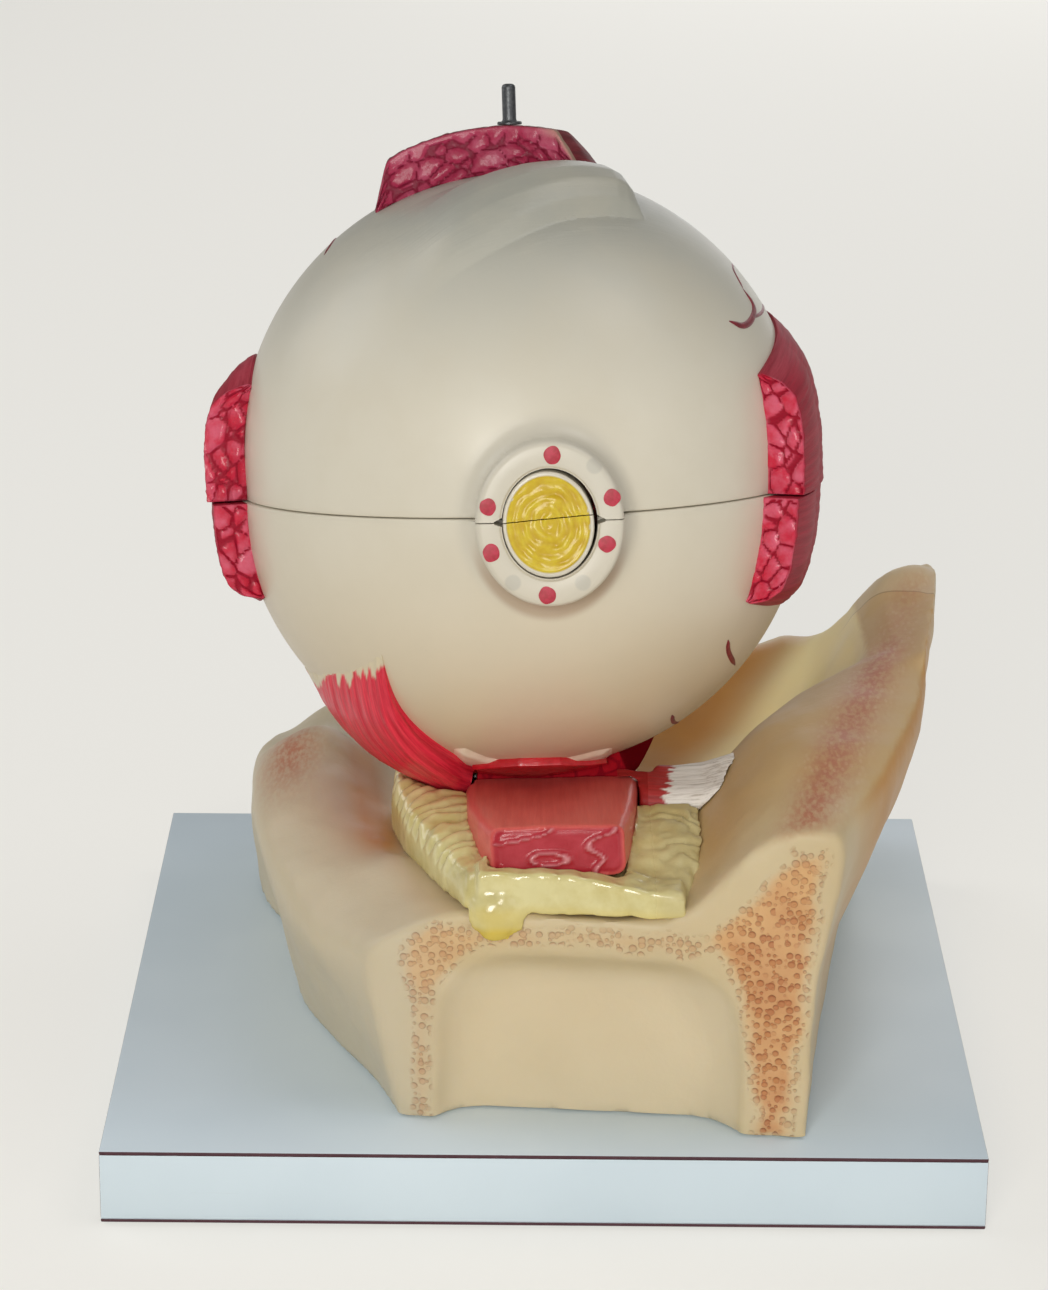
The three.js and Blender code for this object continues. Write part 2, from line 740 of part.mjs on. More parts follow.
// Inferior rectus: its cut end goes on from the eyeball across the fat on the orbit floor
function rectusStub(grow) {
  const section = (y, left, right, inset) => {
    const top = stubTop + stubSlope * (y - stubStart) - inset + grow;
    const bottom = stubTop - stubHeight + inset - grow;
    return roundedRing(left + inset - grow, right - inset + grow, bottom, top, stubRound, y);
  };
  return loft(
    [
      section(stubStart - grow, -8, 18.5, 0.9),
      section(stubStart + 1, -8.4, 18.7, 0),
      section(stubStart + 10, -11.2, 19.6, 0),
      section(stubStart + 24, -13.2, 21.3, 0),
      section(stubEnd + grow, -14.3, 23, 0),
    ],
    acrossY,
  );
}

// Orbit: sections across Y, each from the left foot over the floor's hollow to the right foot,
// as [x, height]. The rear section is the cut face.
const orbitStations = [
  [-78, [[-29.5, 16], [-34.2, 36], [-36, 51.5], [-33.2, 55.3], [-19.2, 62.3], [-12, 63], [24, 63.4],
    [29.5, 66.4], [44.5, 81.3], [57.8, 83], [54.6, 48], [53.3, 16]]],
  [-60, [[-35, 16], [-42, 34], [-47, 48], [-42, 54], [-28, 60.5], [-20, 61], [22, 61.5],
    [30, 66.5], [47, 83.5], [63.2, 84.4], [57.6, 48], [55.4, 16]]],
  [-40, [[-43.5, 16], [-50.5, 34], [-55, 51], [-48, 58], [-36, 61], [-28, 59.5], [18, 58.5],
    [30, 67], [49, 85], [70, 86.2], [61.5, 48], [58, 16]]],
  [-18, [[-52.5, 16], [-57.5, 38], [-61, 56.5], [-50, 63], [-39, 60], [-28, 56.5], [16, 55.5],
    [32, 66], [47, 82], [76.6, 88.2], [65.6, 48], [61, 16]]],
  [2, [[-54.5, 16], [-60, 38], [-63.6, 58.5], [-50, 65.5], [-40, 60.5], [-30, 55], [14, 54],
    [34, 60], [55.5, 81.5], [81.6, 90.2], [69.5, 48], [63.5, 16]]],
  [20, [[-58, 16], [-62, 38], [-64.4, 57], [-50, 67], [-40, 61], [-30, 55], [14, 54],
    [42, 58], [68.5, 82], [84.8, 91.8], [73, 48], [66.4, 16]]],
  [36, [[-64, 16], [-66.4, 38], [-65.4, 52], [-52, 62], [-42, 59], [-30, 56], [14, 56],
    [52, 60], [73, 88], [86.8, 93.4], [76.4, 48], [69, 16]]],
  [50, [[-66, 16], [-68, 36], [-65, 50], [-52, 60], [-42, 60], [-28, 60], [16, 60],
    [56, 64], [78, 93.6], [87.6, 94], [78.6, 48], [71, 16]]],
  [64, [[-63, 16], [-65, 34], [-61, 48], [-48, 60], [-38, 62.5], [-26, 63.4], [16, 64],
    [54, 67], [69, 76], [84, 78], [79.6, 46], [72, 16]]],
  [78, [[-48, 16], [-51, 32], [-48, 44], [-40, 53], [-32, 56], [-22, 57.5], [16, 59],
    [48, 62], [60, 66], [74, 66], [74, 42], [68, 16]]],
];

// The cut face leans across the board, and the lean dies out towards the middle
function leaning(x, y) {
  const reach = orbitStations[0][0];
  const share = THREE.MathUtils.clamp((y + slantEnds) / (reach + slantEnds), 0, 1);
  return y + share * (x - boardWidth / 16) * rearFaceSlant;
}

function orbitSolid() {
  const along = orbitStations[0][1].map((_, k) =>
    curveOf(orbitStations.map(([y, section]) => [section[k][0], y, section[k][1]])),
  );
  const slices = boneSegments * (orbitStations.length - 1);
  const rings = Array.from({ length: slices + 1 }, (_, i) => {
    const points = along.map((curve) => curve.getPoint(i / slices));
    const outline = new THREE.CatmullRomCurve3(points, false, "centripetal");
    return outline
      .getPoints(boneSegments * (points.length - 1))
      .map((p) => new THREE.Vector3(p.x, leaning(p.x, p.y), Math.max(p.z, boardHeight)));
  });
  return loft(rings, acrossY);
}

// Maxillary sinus: a shallow arched hollow in the cut face
function sinusRecess() {
  const left = -22;
  const right = 40;
  const top = 54;
  const ring = (inset, y) =>
    roundedRing(left + inset, right - inset, boardHeight - 30, top - inset, 16, y, 5)
      .map((p) => new THREE.Vector3(p.x, leaning(p.x, p.y), p.z));
  const face = orbitStations[0][0];
  return loft(
    [
      ring(-2, face - 8),
      ring(-0.4, face),
      ring(2.2, face + sinusDepth * 0.45),
      ring(6, face + sinusDepth * 0.85),
      ring(11, face + sinusDepth),
    ],
    acrossY,
  );
}

// What the eyeball and its lower muscles need free below them
const eyeUnderside = () =>
  turnedUpright([[0, 0], ...axisArc(0, lowerRadius + strapGap + seatGap, 90, 180, 8)], 28)
    .add(inferiorRectus(strapGap + seatGap))
    .add(inferiorOblique(strapGap + seatGap));

// Orbital fat: a pad on the orbit floor, open to the cut face, with a drop run over the edge
function fatPad() {
  const edge = [
    [-16.5, -74.5], [-23, -57], [-29.5, -39], [-33, -22], [-32.5, -4], [-20, 6], [14, 6],
    [31, -4], [34.6, -22], [35, -42], [33, -60], [28.2, -78.8],
  ];
  const outline = new THREE.Shape(edge.map(([x, y]) => new THREE.Vector2(x, y)));
  const pad = new THREE.ExtrudeGeometry(outline, {
    depth: fatTop - fatBottom - fatRound,
    bevelThickness: fatRound,
    bevelSize: fatRound,
    bevelOffset: -fatRound,
    bevelSegments: 2,
  }).translate(0, 0, fatBottom);
  const drop = new THREE.SphereGeometry(1, 12, 7).scale(6.6, 3.4, 6).translate(-9.6, -75.3, 62.4);
  const lip = new THREE.ExtrudeGeometry(
    new THREE.Shape([[-14, -76], [28, -79.4], [28, -70], [-14, -68]].map((p) => new THREE.Vector2(...p))),
    { depth: 7.8, bevelThickness: 1.2, bevelSize: 1.2, bevelOffset: -1.2, bevelSegments: 1 },
  ).translate(0, 0, 63.6);
  return solidOf(pad).add(solidOf(drop)).add(solidOf(lip));
}

// Inferior oblique: its other end, from beside the rectus stub to the wall on the nose side
function obliqueStub(start, end, grow) {
  const ring = (x, low, high, back, front) => {
    const flat = roundedRing(back - grow, front + grow, low - grow, high + grow, 3, 0);
    return flat.map((p) => new THREE.Vector3(x, p.x, p.z + (p.x - back) * 0.14));
  };
  const shape = [
    [15, 61, 73.2, -36, -21],
    [22.5, 62, 73, -36, -21],
    [27, 62.6, 72.6, -36, -20.5],
    [33, 63, 73, -36.4, -20],
    [39.8, 64, 75.4, -37, -20],
  ];
  const kept = shape.filter(([x]) => x >= start && x <= end);
  return loft(
    kept.map((row) => ring(...row)),
    (p) => new THREE.Vector2(p.y, p.z),
  );
}

function addOrbit() {
  const screws = screwPlaces.map((place) => screw(place, seatGap));
  const post = moved(supportPin(seatGap), eyeToBoard);
  const solid = orbitSolid().subtract(sinusRecess());
  const drilled = screws.reduce((left, hole) => left.subtract(hole), solid).subtract(post);
  addPiece(object, "orbit_bone", drilled, bone);
  addPiece(eye, "support_pin", supportPin(0), steel);
  const nearEye = eyeUnderside();
  addPiece(eye, "inferior_rectus_stub", rectusStub(0).subtract(nearEye), paleMuscle);
  const raised = orbitSolid().translate([0, 0, seatGap]);
  const stub = moved(rectusStub(seatGap), eyeToBoard);
  const overStub = moved(rectusStub(seatGap).translate([0, 0, stubHeight - 1]), eyeToBoard);
  const above = moved(nearEye, eyeToBoard);
  const clearOfBone = (piece) => piece.subtract(raised).subtract(above);
  const muscleEnd = obliqueStub(15, 28, 0).subtract(stub);
  const tendonEnd = obliqueStub(26, 41, 0).translate([seatGap, 0, 0]);
  const whole = obliqueStub(15, 41, seatGap);
  addPiece(object, "inferior_oblique_stub", clearOfBone(muscleEnd), paleMuscle);
  addPiece(object, "inferior_oblique_tendon", clearOfBone(tendonEnd), tendon);
  const padding = [stub, overStub, whole, post].reduce((left, piece) => left.subtract(piece), fatPad());
  addPiece(object, "orbital_fat", clearOfBone(padding), fat);
}

addBoard();
addOrbit();
addLowerEye();
addUpperEye();
addCornea();
addInnerEye();
addVitreous();

export default object;
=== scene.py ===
"""Looks of the eye anatomy model: a five times enlarged left eye in its bony orbit on a laminated board.

Pieces of the eye are modelled in millimetres about the eyeball's centre, where -Y is the optic nerve side
and +X the side of the nose, and then put in their place on the board. The orbit and what lies on its floor
are modelled in millimetres about the middle of the board's underside.
"""
import math

import bmesh
import bpy
import numpy as np
from mathutils import Matrix, Vector, kdtree, noise


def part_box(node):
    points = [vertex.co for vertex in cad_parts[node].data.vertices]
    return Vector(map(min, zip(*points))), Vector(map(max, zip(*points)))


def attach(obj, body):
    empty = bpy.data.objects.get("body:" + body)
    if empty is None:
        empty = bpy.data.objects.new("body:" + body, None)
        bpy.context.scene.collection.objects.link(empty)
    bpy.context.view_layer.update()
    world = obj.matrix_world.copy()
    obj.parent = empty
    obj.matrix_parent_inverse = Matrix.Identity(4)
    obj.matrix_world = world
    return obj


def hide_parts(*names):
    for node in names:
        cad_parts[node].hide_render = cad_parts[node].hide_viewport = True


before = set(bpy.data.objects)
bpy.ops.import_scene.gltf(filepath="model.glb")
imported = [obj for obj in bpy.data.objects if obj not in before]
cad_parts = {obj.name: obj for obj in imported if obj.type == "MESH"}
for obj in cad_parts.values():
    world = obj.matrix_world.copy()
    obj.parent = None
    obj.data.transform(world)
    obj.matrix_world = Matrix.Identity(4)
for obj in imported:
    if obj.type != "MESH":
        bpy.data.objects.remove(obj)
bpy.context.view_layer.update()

MM = 0.001


def turn_about(axis, degrees):
    return Matrix.Rotation(math.radians(degrees), 4, axis)


INNER_ROLL = -4
EYE = Matrix.Translation((-5.4, 0, 129.35)) @ turn_about("X", -11.5) @ turn_about("Y", -2.2)
INNER = EYE @ turn_about("Y", INNER_ROLL)
BOARD = Matrix.Identity(4)

# Halves of the eyeball: radius, and how far the middle of the upper dome is raised on a straight wall
LOWER = (60.5, 0.0)
UPPER = (59.8, 7.3)
CAVITY = 55.3
SEAM = 0.11  # half of the gap between the halves
SEAM_BEVEL = 0.25

# Optic nerve: middle, then half widths across and up
NERVE = (5.4, -0.5)
SHEATH = (14.7, 16.5)
SHEATH_BORE = (9.5, 11.0)
SHEATH_END = 68.0
CORE = (9.0, 10.5)
CORE_END = 66.8
CORE_START = 53.5

CORNEA_EDGE = 28.5
CORNEA_SEAT = 50.37
CORNEA_CURVE = 39
CORNEA_WALL = 2
CORNEA_PLAY = 0.3

CHOROID_OUTER = 54.6
CHOROID_INNER = 50.6
IRIS_PLANE = 44.6  # where the choroid ends
IRIS_BACK, IRIS_FRONT = 44.9, 47.1
PUPIL = 10
VITREOUS = 49.6
VITREOUS_WALL = 2
VITREOUS_JOINT = 26  # where the dish meets the shell, forward of the middle
DISH_LIP = 37.6
LENS_RADIUS = 22.5
LENS_FRONT, LENS_FRONT_CURVE = 42.9, 50
LENS_BACK, LENS_BACK_CURVE = 24.9, 30
LENS_PLAY = 0.3

CROWN_THICKNESS = 9.8
SHOULDER_TOP = -67.3  # of the support pin, below the middle of the eyeball
BOARD_TOP = 16


# Finishes

def paint(code):
    """A colour as it is seen, in the linear values that a shader takes"""
    parts = [int(code[i : i + 2], 16) / 255 for i in (1, 3, 5)]
    return tuple(c / 12.92 if c < 0.04045 else ((c + 0.055) / 1.055) ** 2.4 for c in parts) + (1.0,)


class Value:
    """A socket that takes part in sums"""

    def __init__(self, finish, socket):
        self.finish = finish
        self.socket = socket

    def math(self, operation, other=None, swap=False):
        pair = (other, self) if swap else (self, other)
        return self.finish.node("Math", pair[: 1 if other is None else 2], operation=operation)

    def __add__(self, other):
        return self.math("ADD", other)

    __radd__ = __add__

    def __mul__(self, other):
        return self.math("MULTIPLY", other)

    __rmul__ = __mul__

    def __sub__(self, other):
        return self.math("SUBTRACT", other)

    def __rsub__(self, other):
        return self.math("SUBTRACT", other, swap=True)

    def __truediv__(self, other):
        return self.math("DIVIDE", other)

    def __pow__(self, other):
        return self.math("POWER", other)

    def above(self, other):
        return self.math("MAXIMUM", other)

    def step(self, low, high):
        """0 below low and 1 above high, smoothly; the other way round where low is the larger"""
        return self.finish.node("MapRange", [self, low, high, 0.0, 1.0], interpolation_type="SMOOTHSTEP")


class Finish:
    """A material and its nodes. A colour is given as a socket or as its code"""

    def __init__(self, name, place=EYE, **fixed):
        self.material = bpy.data.materials.new(name)
        self.material.use_nodes = True
        self.nodes = self.material.node_tree.nodes
        self.links = self.material.node_tree.links
        self.shader = self.nodes["Principled BSDF"]
        for key, value in fixed.items():
            self.shader.inputs[key.replace("_", " ")].default_value = value
        coordinates = self.node("TexCoord", out="Object")
        centre = place.to_translation() * MM
        self.point = self.node(
            "Mapping",
            {"Vector": coordinates, "Location": centre, "Rotation": place.to_euler(), "Scale": (MM, MM, MM)},
            vector_type="TEXTURE",
        )
        self.x, self.y, self.z = self.split(self.point)

    def node(self, kind, values=(), out=0, **settings):
        made = self.nodes.new("ShaderNode" + kind)
        for key, value in settings.items():
            setattr(made, key, value)
        for key, value in values.items() if isinstance(values, dict) else enumerate(values):
            if isinstance(value, Value):
                self.links.new(value.socket, made.inputs[key])
            else:
                made.inputs[key].default_value = paint(value) if isinstance(value, str) else value
        return Value(self, made.outputs[out])

    def split(self, vector):
        parts = self.node("SeparateXYZ", [vector]).socket.node
        return [Value(self, parts.outputs[i]) for i in range(3)]

    def join(self, x, y, z):
        return self.node("CombineXYZ", [x, y, z])

    def stretched(self, vector, scale):
        return self.node("VectorMath", [vector, scale], operation="MULTIPLY")

    def noise(self, scale, vector=None, detail=3.0, roughness=0.55):
        values = {"Vector": vector or self.point, "Scale": scale, "Detail": detail, "Roughness": roughness}
        return self.node("TexNoise", values)

    def cells(self, scale, vector=None, feature="F1", out="Distance", even=1.0, sides="3D"):
        values = {"Vector": vector or self.point, "Scale": scale, "Randomness": even}
        return self.node("TexVoronoi", values, feature=feature, out=out, voronoi_dimensions=sides)

    def attribute(self, name, out="Fac"):
        return self.node("Attribute", attribute_name=name, attribute_type="GEOMETRY", out=out)

    def mix(self, share, first, second):
        return self.node("Mix", {0: share, 6: first, 7: second}, data_type="RGBA", out=2)

    def mottled(self, scale, first, second, low=0.35, high=0.7, detail=4):
        """Two colours in soft patches"""
        return self.mix(self.noise(scale, detail=detail).step(low, high), first, second)

    def put(self, **inputs):
        for key, value in inputs.items():
            self.links.new(value.socket, self.shader.inputs[key.replace("_", " ")])

    def bump(self, height, depth, strength=1.0):
        """Depth is in millimetres for a height of one"""
        values = {"Height": height, "Distance": depth * MM, "Strength": strength}
        self.put(Normal=self.node("Bump", values))
        return self


def sclera_finish():
    f = Finish("sclera_paint", Coat_Roughness=0.25, Coat_IOR=1.45, Coat_Weight=0.15)
    base = f.mix(f.z.step(10, -58), "#d6d0c0", "#d0be9f")
    # Painted shade: the upper dome greyer and darker towards the crown
    base = f.mix(f.z.step(15, 66) * 0.85, base, "#a6a79e")
    base = f.mix(f.z.step(46, 66) * 0.4, base, "#82837b")
    base = f.mix(f.noise(0.05, detail=4).step(0.35, 0.7) * 0.22, base, "#c9bfa8")
    specks = f.noise(1.6, detail=5, roughness=0.7).step(0.69, 0.76)
    base = f.mix(specks * 0.28, base, "#8f836d")
    across = f.x - NERVE[0]
    up = f.z - NERVE[1]
    # Greyer on the nerve ring, with painted shade in a halo a few millimetres round it
    ring = (across * across / 290 + up * up / 360).step(1.35, 1.0) * f.y.step(-55, -58)
    base = f.mix(ring * 0.35, base, "#c3beb2")
    # Painted shadow: a brown crescent on the sclera just under the nerve ring
    low_ring = across * across / 235 + (up + 1.6) * (up + 1.6) / 325
    crease = low_ring.step(1.22, 0.98) * up.step(-2, -13) * f.y.step(-64.5, -61.5)
    base = f.mix(crease * 0.55, base, "#9c7b5c")
    for x, z in ((-2.2, -11.9), (11.6, -12.3), (14.5, 10.8)):  # dots of vessels whose red has worn off
        gap_x, gap_z = f.x - x, f.z - z
        patch = (gap_x * gap_x + gap_z * gap_z).step(3.4, 1.6) * f.y.step(-67, -67.6)
        base = f.mix(patch * 0.5, base, "#aeaca2")
    f.put(Base_Color=base, Roughness=0.36 + 0.14 * f.noise(0.12, detail=2))
    spread = f.z * 0.55 + f.y * 0.75 - f.x * 0.35
    brushed = f.noise(1.0, f.join(spread * 1.1, f.x * 0.06, 0.0), detail=3)
    brushed = brushed * f.z.step(46, 58) * f.y.step(4, -6)
    return f.bump(f.noise(0.09, detail=2) + 0.06 * f.noise(1.1, detail=3) + 0.5 * brushed, 0.35, 0.6).material


def muscle_finish(
    name, deep, bright, pale, outer=None, streak=1.0, worn=1.0, coat=0.3, shine=0.05, gleam=0.2
):
    """Cobbled cut faces in three reds, and sides with lines along the fibres"""
    f = Finish(name, Coat_Roughness=0.16, Specular_IOR_Level=gleam)
    fibre = f.attribute("fibre", "Vector")
    groove = f.attribute("groove")
    cut = f.attribute("cut")
    streaks = f.noise(1.0, f.stretched(fibre, (0.045, 0.9, 0.5)), detail=5, roughness=0.65)
    fine = f.noise(1.0, f.stretched(fibre, (0.12, 3.4, 1.5)), detail=3, roughness=0.7)
    lines = (streaks * 0.65 + fine * 0.35).step(0.36, 0.66)
    side = f.mix(lines * streak, *(outer or (deep, bright)))
    rubbed = f.attribute("across").step(0.8, 0.98) * (0.2 + 0.8 * lines) * worn
    side = f.mix(rubbed, side, "#b9707a")
    face = f.mottled(0.22, bright, pale, detail=3)
    face = f.mix(groove.step(0.25, 0.9), face, deep)
    # Painted highlight: pale pink on the crests of a cut face
    face = f.mix(f.attribute("crest_highlight"), face, "#e0a2a6")
    base = f.mix(cut, side, face)
    base = f.mix(f.attribute("bare"), base, "#d3c6a9")
    f.put(Base_Color=base, Roughness=0.45 - 0.17 * cut.above(shine * 3) + 0.22 * fine)
    f.put(Coat_Weight=(shine + cut * (coat - shine)) * (1 - groove))
    return f.bump(fine * 0.5 + streaks, 0.16 * streak, 0.8).material


def pores_of(f, open_pores):
    """The round cells of the sawn spongy bone, and the shadow under each one's upper lip"""
    sawn = f.join(f.x, f.z, 0.0)
    flat = dict(vector=sawn, even=0.85, sides="2D")
    pores = lids = None
    for scale, size, rare in ((0.5, 0.36, 0.0), (0.8, 0.27, 0.5)):
        near = f.cells(scale, **flat)
        middle = f.split(f.cells(scale, out="Position", **flat))[1]
        chance = f.split(f.cells(scale, out="Color", **flat))[0]
        reach = (0.65 + 0.45 * chance) * size
        pore = near.step(reach + 0.08, reach - 0.06) * chance.step(rare, rare + 0.35) * open_pores
        lid = pore * (f.z - middle).step(-0.2, 0.7) * near.step(reach * 0.25, reach * 0.8)
        pores = pore.above(pores) if pores else pore
        lids = lid.above(lids) if lids else lid
    return pores, lids


def bone_finish():
    f = Finish(
        "orbit_bone_casting", BOARD, Coat_Roughness=0.35, Coat_Weight=0.1, Specular_IOR_Level=0.3,
        Subsurface_Weight=0.12, Subsurface_Radius=(0.004, 0.0025, 0.0012),
    )
    spongy = f.attribute("spongy")
    blush = f.attribute("blush")
    base = f.mottled(0.035, "#ccb890", "#c2ac81")
    base = f.mix(f.noise(0.012, detail=3).step(0.4, 0.65) * 0.5, base, "#d2c3a3")
    # Painted warm bounce light: upward-facing bone near the rear face turned a warmer yellow-brown
    base = f.mix(f.attribute("inner") * 0.4, base, "#c79a55")
    base = f.mix(f.attribute("grey") * 0.75, base, "#c9bea6")
    recess = f.z.step(53, 46) * f.y.step(-60, -68) * f.y.step(-80.6, -78)
    recess = recess * f.x.step(-24, -18) * f.x.step(44, 38)
    base = f.mix(recess * 0.55, base, "#dccdb0")
    base = f.mix(f.attribute("shade"), base, f.mix(f.noise(0.08, detail=3), "#c4842a", "#ac6c1e"))
    # The hollow beside the tower in a pale cream, brightened as painted light where the wall's crest shades
    # it
    base = f.mix(f.attribute("hollow_cream_and_light") * 0.9, base, "#f0dfa8")
    across_tip = f.y + 0.86 * f.x - 107.4
    tip = f.z.step(76, 89)
    base = f.mix(across_tip.step(-0.5, 0.5) * tip * 0.4, base, "#d2c7aa")
    mould_line = across_tip.math("ABSOLUTE").step(0.4, 0.1) * tip
    base = f.mix(mould_line * 0.6, base, "#8d7450")
    grains = f.stretched(f.point, (1, 0.42, 1))
    flecks = f.noise(0.95, grains, detail=3, roughness=0.6).step(0.36, 0.62)
    base = f.mix(blush * (0.5 + 0.5 * flecks), base, f.mix(f.noise(0.3), "#bd7b5d", "#b0664c"))
    dots = f.cells(0.75, grains).step(0.34, 0.2)
    base = f.mix(dots * blush.step(0.02, 0.3) * 0.16, base, "#dcc8a6")
    warm = f.mottled(0.1, "#d8a974", "#cc945f", 0.4, 0.65, detail=2)
    heart = spongy.step(0.6, 1.0) * f.x.step(34, 42) * f.z.step(78, 58)
    warm = f.mix(heart * f.noise(0.06, detail=2).step(0.3, 0.6) * 0.4, warm, "#bd7648")
    base = f.mix(spongy * spongy * 0.85, base, warm)
    pores, lids = pores_of(f, spongy.step(0.08, 0.3))
    brown = f.mottled(0.09, "#b06a35", "#a85a30", 0.4, 0.6, detail=2)
    base = f.mix(pores * (0.24 + 0.32 * heart), base, brown)
    base = f.mix(lids * (0.32 + 0.35 * heart), base, "#8a4422")
    f.put(Base_Color=base, Roughness=0.38 + 0.2 * f.noise(0.1, detail=3))
    return f.bump(f.noise(0.08, detail=3) + 0.1 * f.noise(1.2, detail=3) - 0.7 * pores, 0.5, 0.7).material


def fat_finish():
    f = Finish("orbital_fat_resin", BOARD, Coat_Roughness=0.1, Specular_IOR_Level=0.6)
    dull = f.attribute("dull")
    base = f.mottled(0.14, "#d9cf96", "#cbbd7c", high=0.68)
    # Painted shade: darker in the valleys of the wrinkles
    base = f.mix(f.attribute("fold") * 0.4, base, "#a8985c")
    base = f.mix(dull * (0.45 + 0.5 * f.noise(0.35, detail=4)), base, "#b8a878")
    base = f.mix(f.attribute("rim"), base, "#d4b83a")
    f.put(Base_Color=base, Roughness=0.16 + 0.45 * dull + 0.14 * f.noise(0.3, detail=3))
    f.put(Coat_Weight=(0.4 - 0.5 * dull).above(0.0))
    return f.bump(f.noise(0.25, detail=4), 0.4, 0.6).material


def tendon_finish():
    f = Finish("tendon_brushed_white", BOARD, Specular_IOR_Level=0.5)
    fibre = f.attribute("fibre", "Vector")
    lines = f.noise(1.0, f.stretched(fibre, (0.05, 2.2, 1.2)), detail=5, roughness=0.7)
    base = f.mix(lines.step(0.3, 0.55), "#b5aca1", "#ebe8e2")
    base = f.mix(f.attribute("red"), base, f.mix(lines.step(0.35, 0.6), "#93201f", "#b02c2e"))
    f.put(Base_Color=base, Roughness=0.3 + 0.25 * lines)
    return f.bump(lines, 0.2, 0.8).material


def plain_finish(name, place, first, second, scale, roughness, depth, **fixed):
    """A cast, rolled or painted surface with a slow change of tone and a fine grain"""
    f = Finish(name, place, **fixed)
    base = f.mottled(scale, first, second, high=0.68)
    f.put(Base_Color=base, Roughness=roughness + 0.15 * f.noise(scale * 6))
    return f.bump(f.noise(scale * 14, detail=4), depth, 0.7).material


def laminate_finish():
    f = Finish("board_laminate", BOARD, Specular_IOR_Level=0.45)
    edge = f.attribute("edge")
    base = f.mottled(0.012, "#d4e2eb", "#cbdae4", high=0.68, detail=3)
    scuffs = f.noise(1.0, f.stretched(f.point, (0.02, 0.5, 0.5)), detail=5, roughness=0.75).step(0.66, 0.74)
    base = f.mix(scuffs * 0.18, base, "#a9adb0")
    base = f.mix(edge, base, f.mix(f.noise(0.3, detail=3), "#3d2029", "#563039"))
    f.put(Base_Color=base, Roughness=0.32 + 0.12 * f.noise(0.05, detail=3) + 0.3 * edge)
    return f.bump(f.noise(2.2, detail=3), 0.03, 0.5).material


def core_finish():
    f = Finish("nerve_core_paint", INNER, Coat_Roughness=0.15, Coat_Weight=0.15)
    yellow = f.mottled(0.4, "#c9a90e", "#d3bb1e", high=0.65)
    yellow = f.mix(f.attribute("groove") * 0.6, yellow, "#b98f10")
    base = f.mix(f.attribute("rim"), yellow, "#d3cdbe")
    f.put(Base_Color=base, Roughness=0.25 + 0.2 * f.noise(0.5))
    return f.bump(f.noise(1.2, detail=4), 0.08, 0.8).material


def coat_finish():
    """Choroid outside, with its swirling veins, and retina inside"""
    f = Finish("choroid_and_retina", INNER, Coat_Roughness=0.2)
    radius = f.node("VectorMath", [f.point], operation="LENGTH", out="Value")
    outside = radius.step(52.2, 53.0)
    warped = f.node("VectorMath", [f.point, f.noise(0.06, detail=2)], operation="ADD")
    veins = f.cells(0.11, warped, feature="DISTANCE_TO_EDGE").step(0.10, 0.03)
    skin = f.mix(f.noise(0.08, detail=4), "#6e2c1c", "#8b4327")
    skin = f.mix(veins * 0.8, skin, "#a11c26")
    retina = f.mix(f.noise(0.05, detail=4), "#d08a55", "#c47443")
    thin = f.cells(0.05, f.stretched(warped, (1, 0.6, 1)), feature="DISTANCE_TO_EDGE").step(0.035, 0.012)
    retina = f.mix(thin * f.y.step(25, -5), retina, "#9c1f24")
    across, up = f.x - NERVE[0], f.z - NERVE[1]
    disc = (across * across + up * up).step(46, 36) * f.y.step(-40, -46)
    retina = f.mix(disc, retina, "#e8d79a")
    f.put(Base_Color=f.mix(outside, retina, skin), Roughness=0.35 + 0.2 * f.noise(0.2))
    return f.bump(veins * outside + 0.4 * f.noise(0.5, detail=3), 0.35, 0.7).material


def iris_finish():
    f = Finish("iris_paint", INNER, Coat_Roughness=0.1)
    radius = (f.x * f.x + f.z * f.z) ** 0.5
    turn = f.node("Math", [f.z, f.x], operation="ARCTAN2")
    rays = f.noise(1.0, f.join(turn * 9, radius * 0.08, 0.0), detail=5, roughness=0.7)
    base = f.mix(rays.step(0.35, 0.65), "#3f5d74", "#8fa9b4")
    base = f.mix(radius.step(22, 27), base, "#2c3b47")
    base = f.mix(radius.step(12.5, 10.3), base, "#8a6a3f")
    back = f.y.step(IRIS_PLANE + 1.0, IRIS_PLANE + 0.5)
    f.put(Base_Color=f.mix(back, base, "#3b241b"), Roughness=0.3 + 0.2 * rays)
    return f.bump(rays, 0.3, 0.8).material


def clear_finish(name, tint):
    f = Finish(name, Transmission_Weight=1.0, IOR=1.46)
    tone = f.noise(0.05, detail=2)
    f.put(Base_Color=f.mix(tone, tint, "#f4fafa"), Roughness=0.03 + 0.05 * tone)
    return f.bump(f.noise(0.06, detail=2), 0.05, 0.4).material


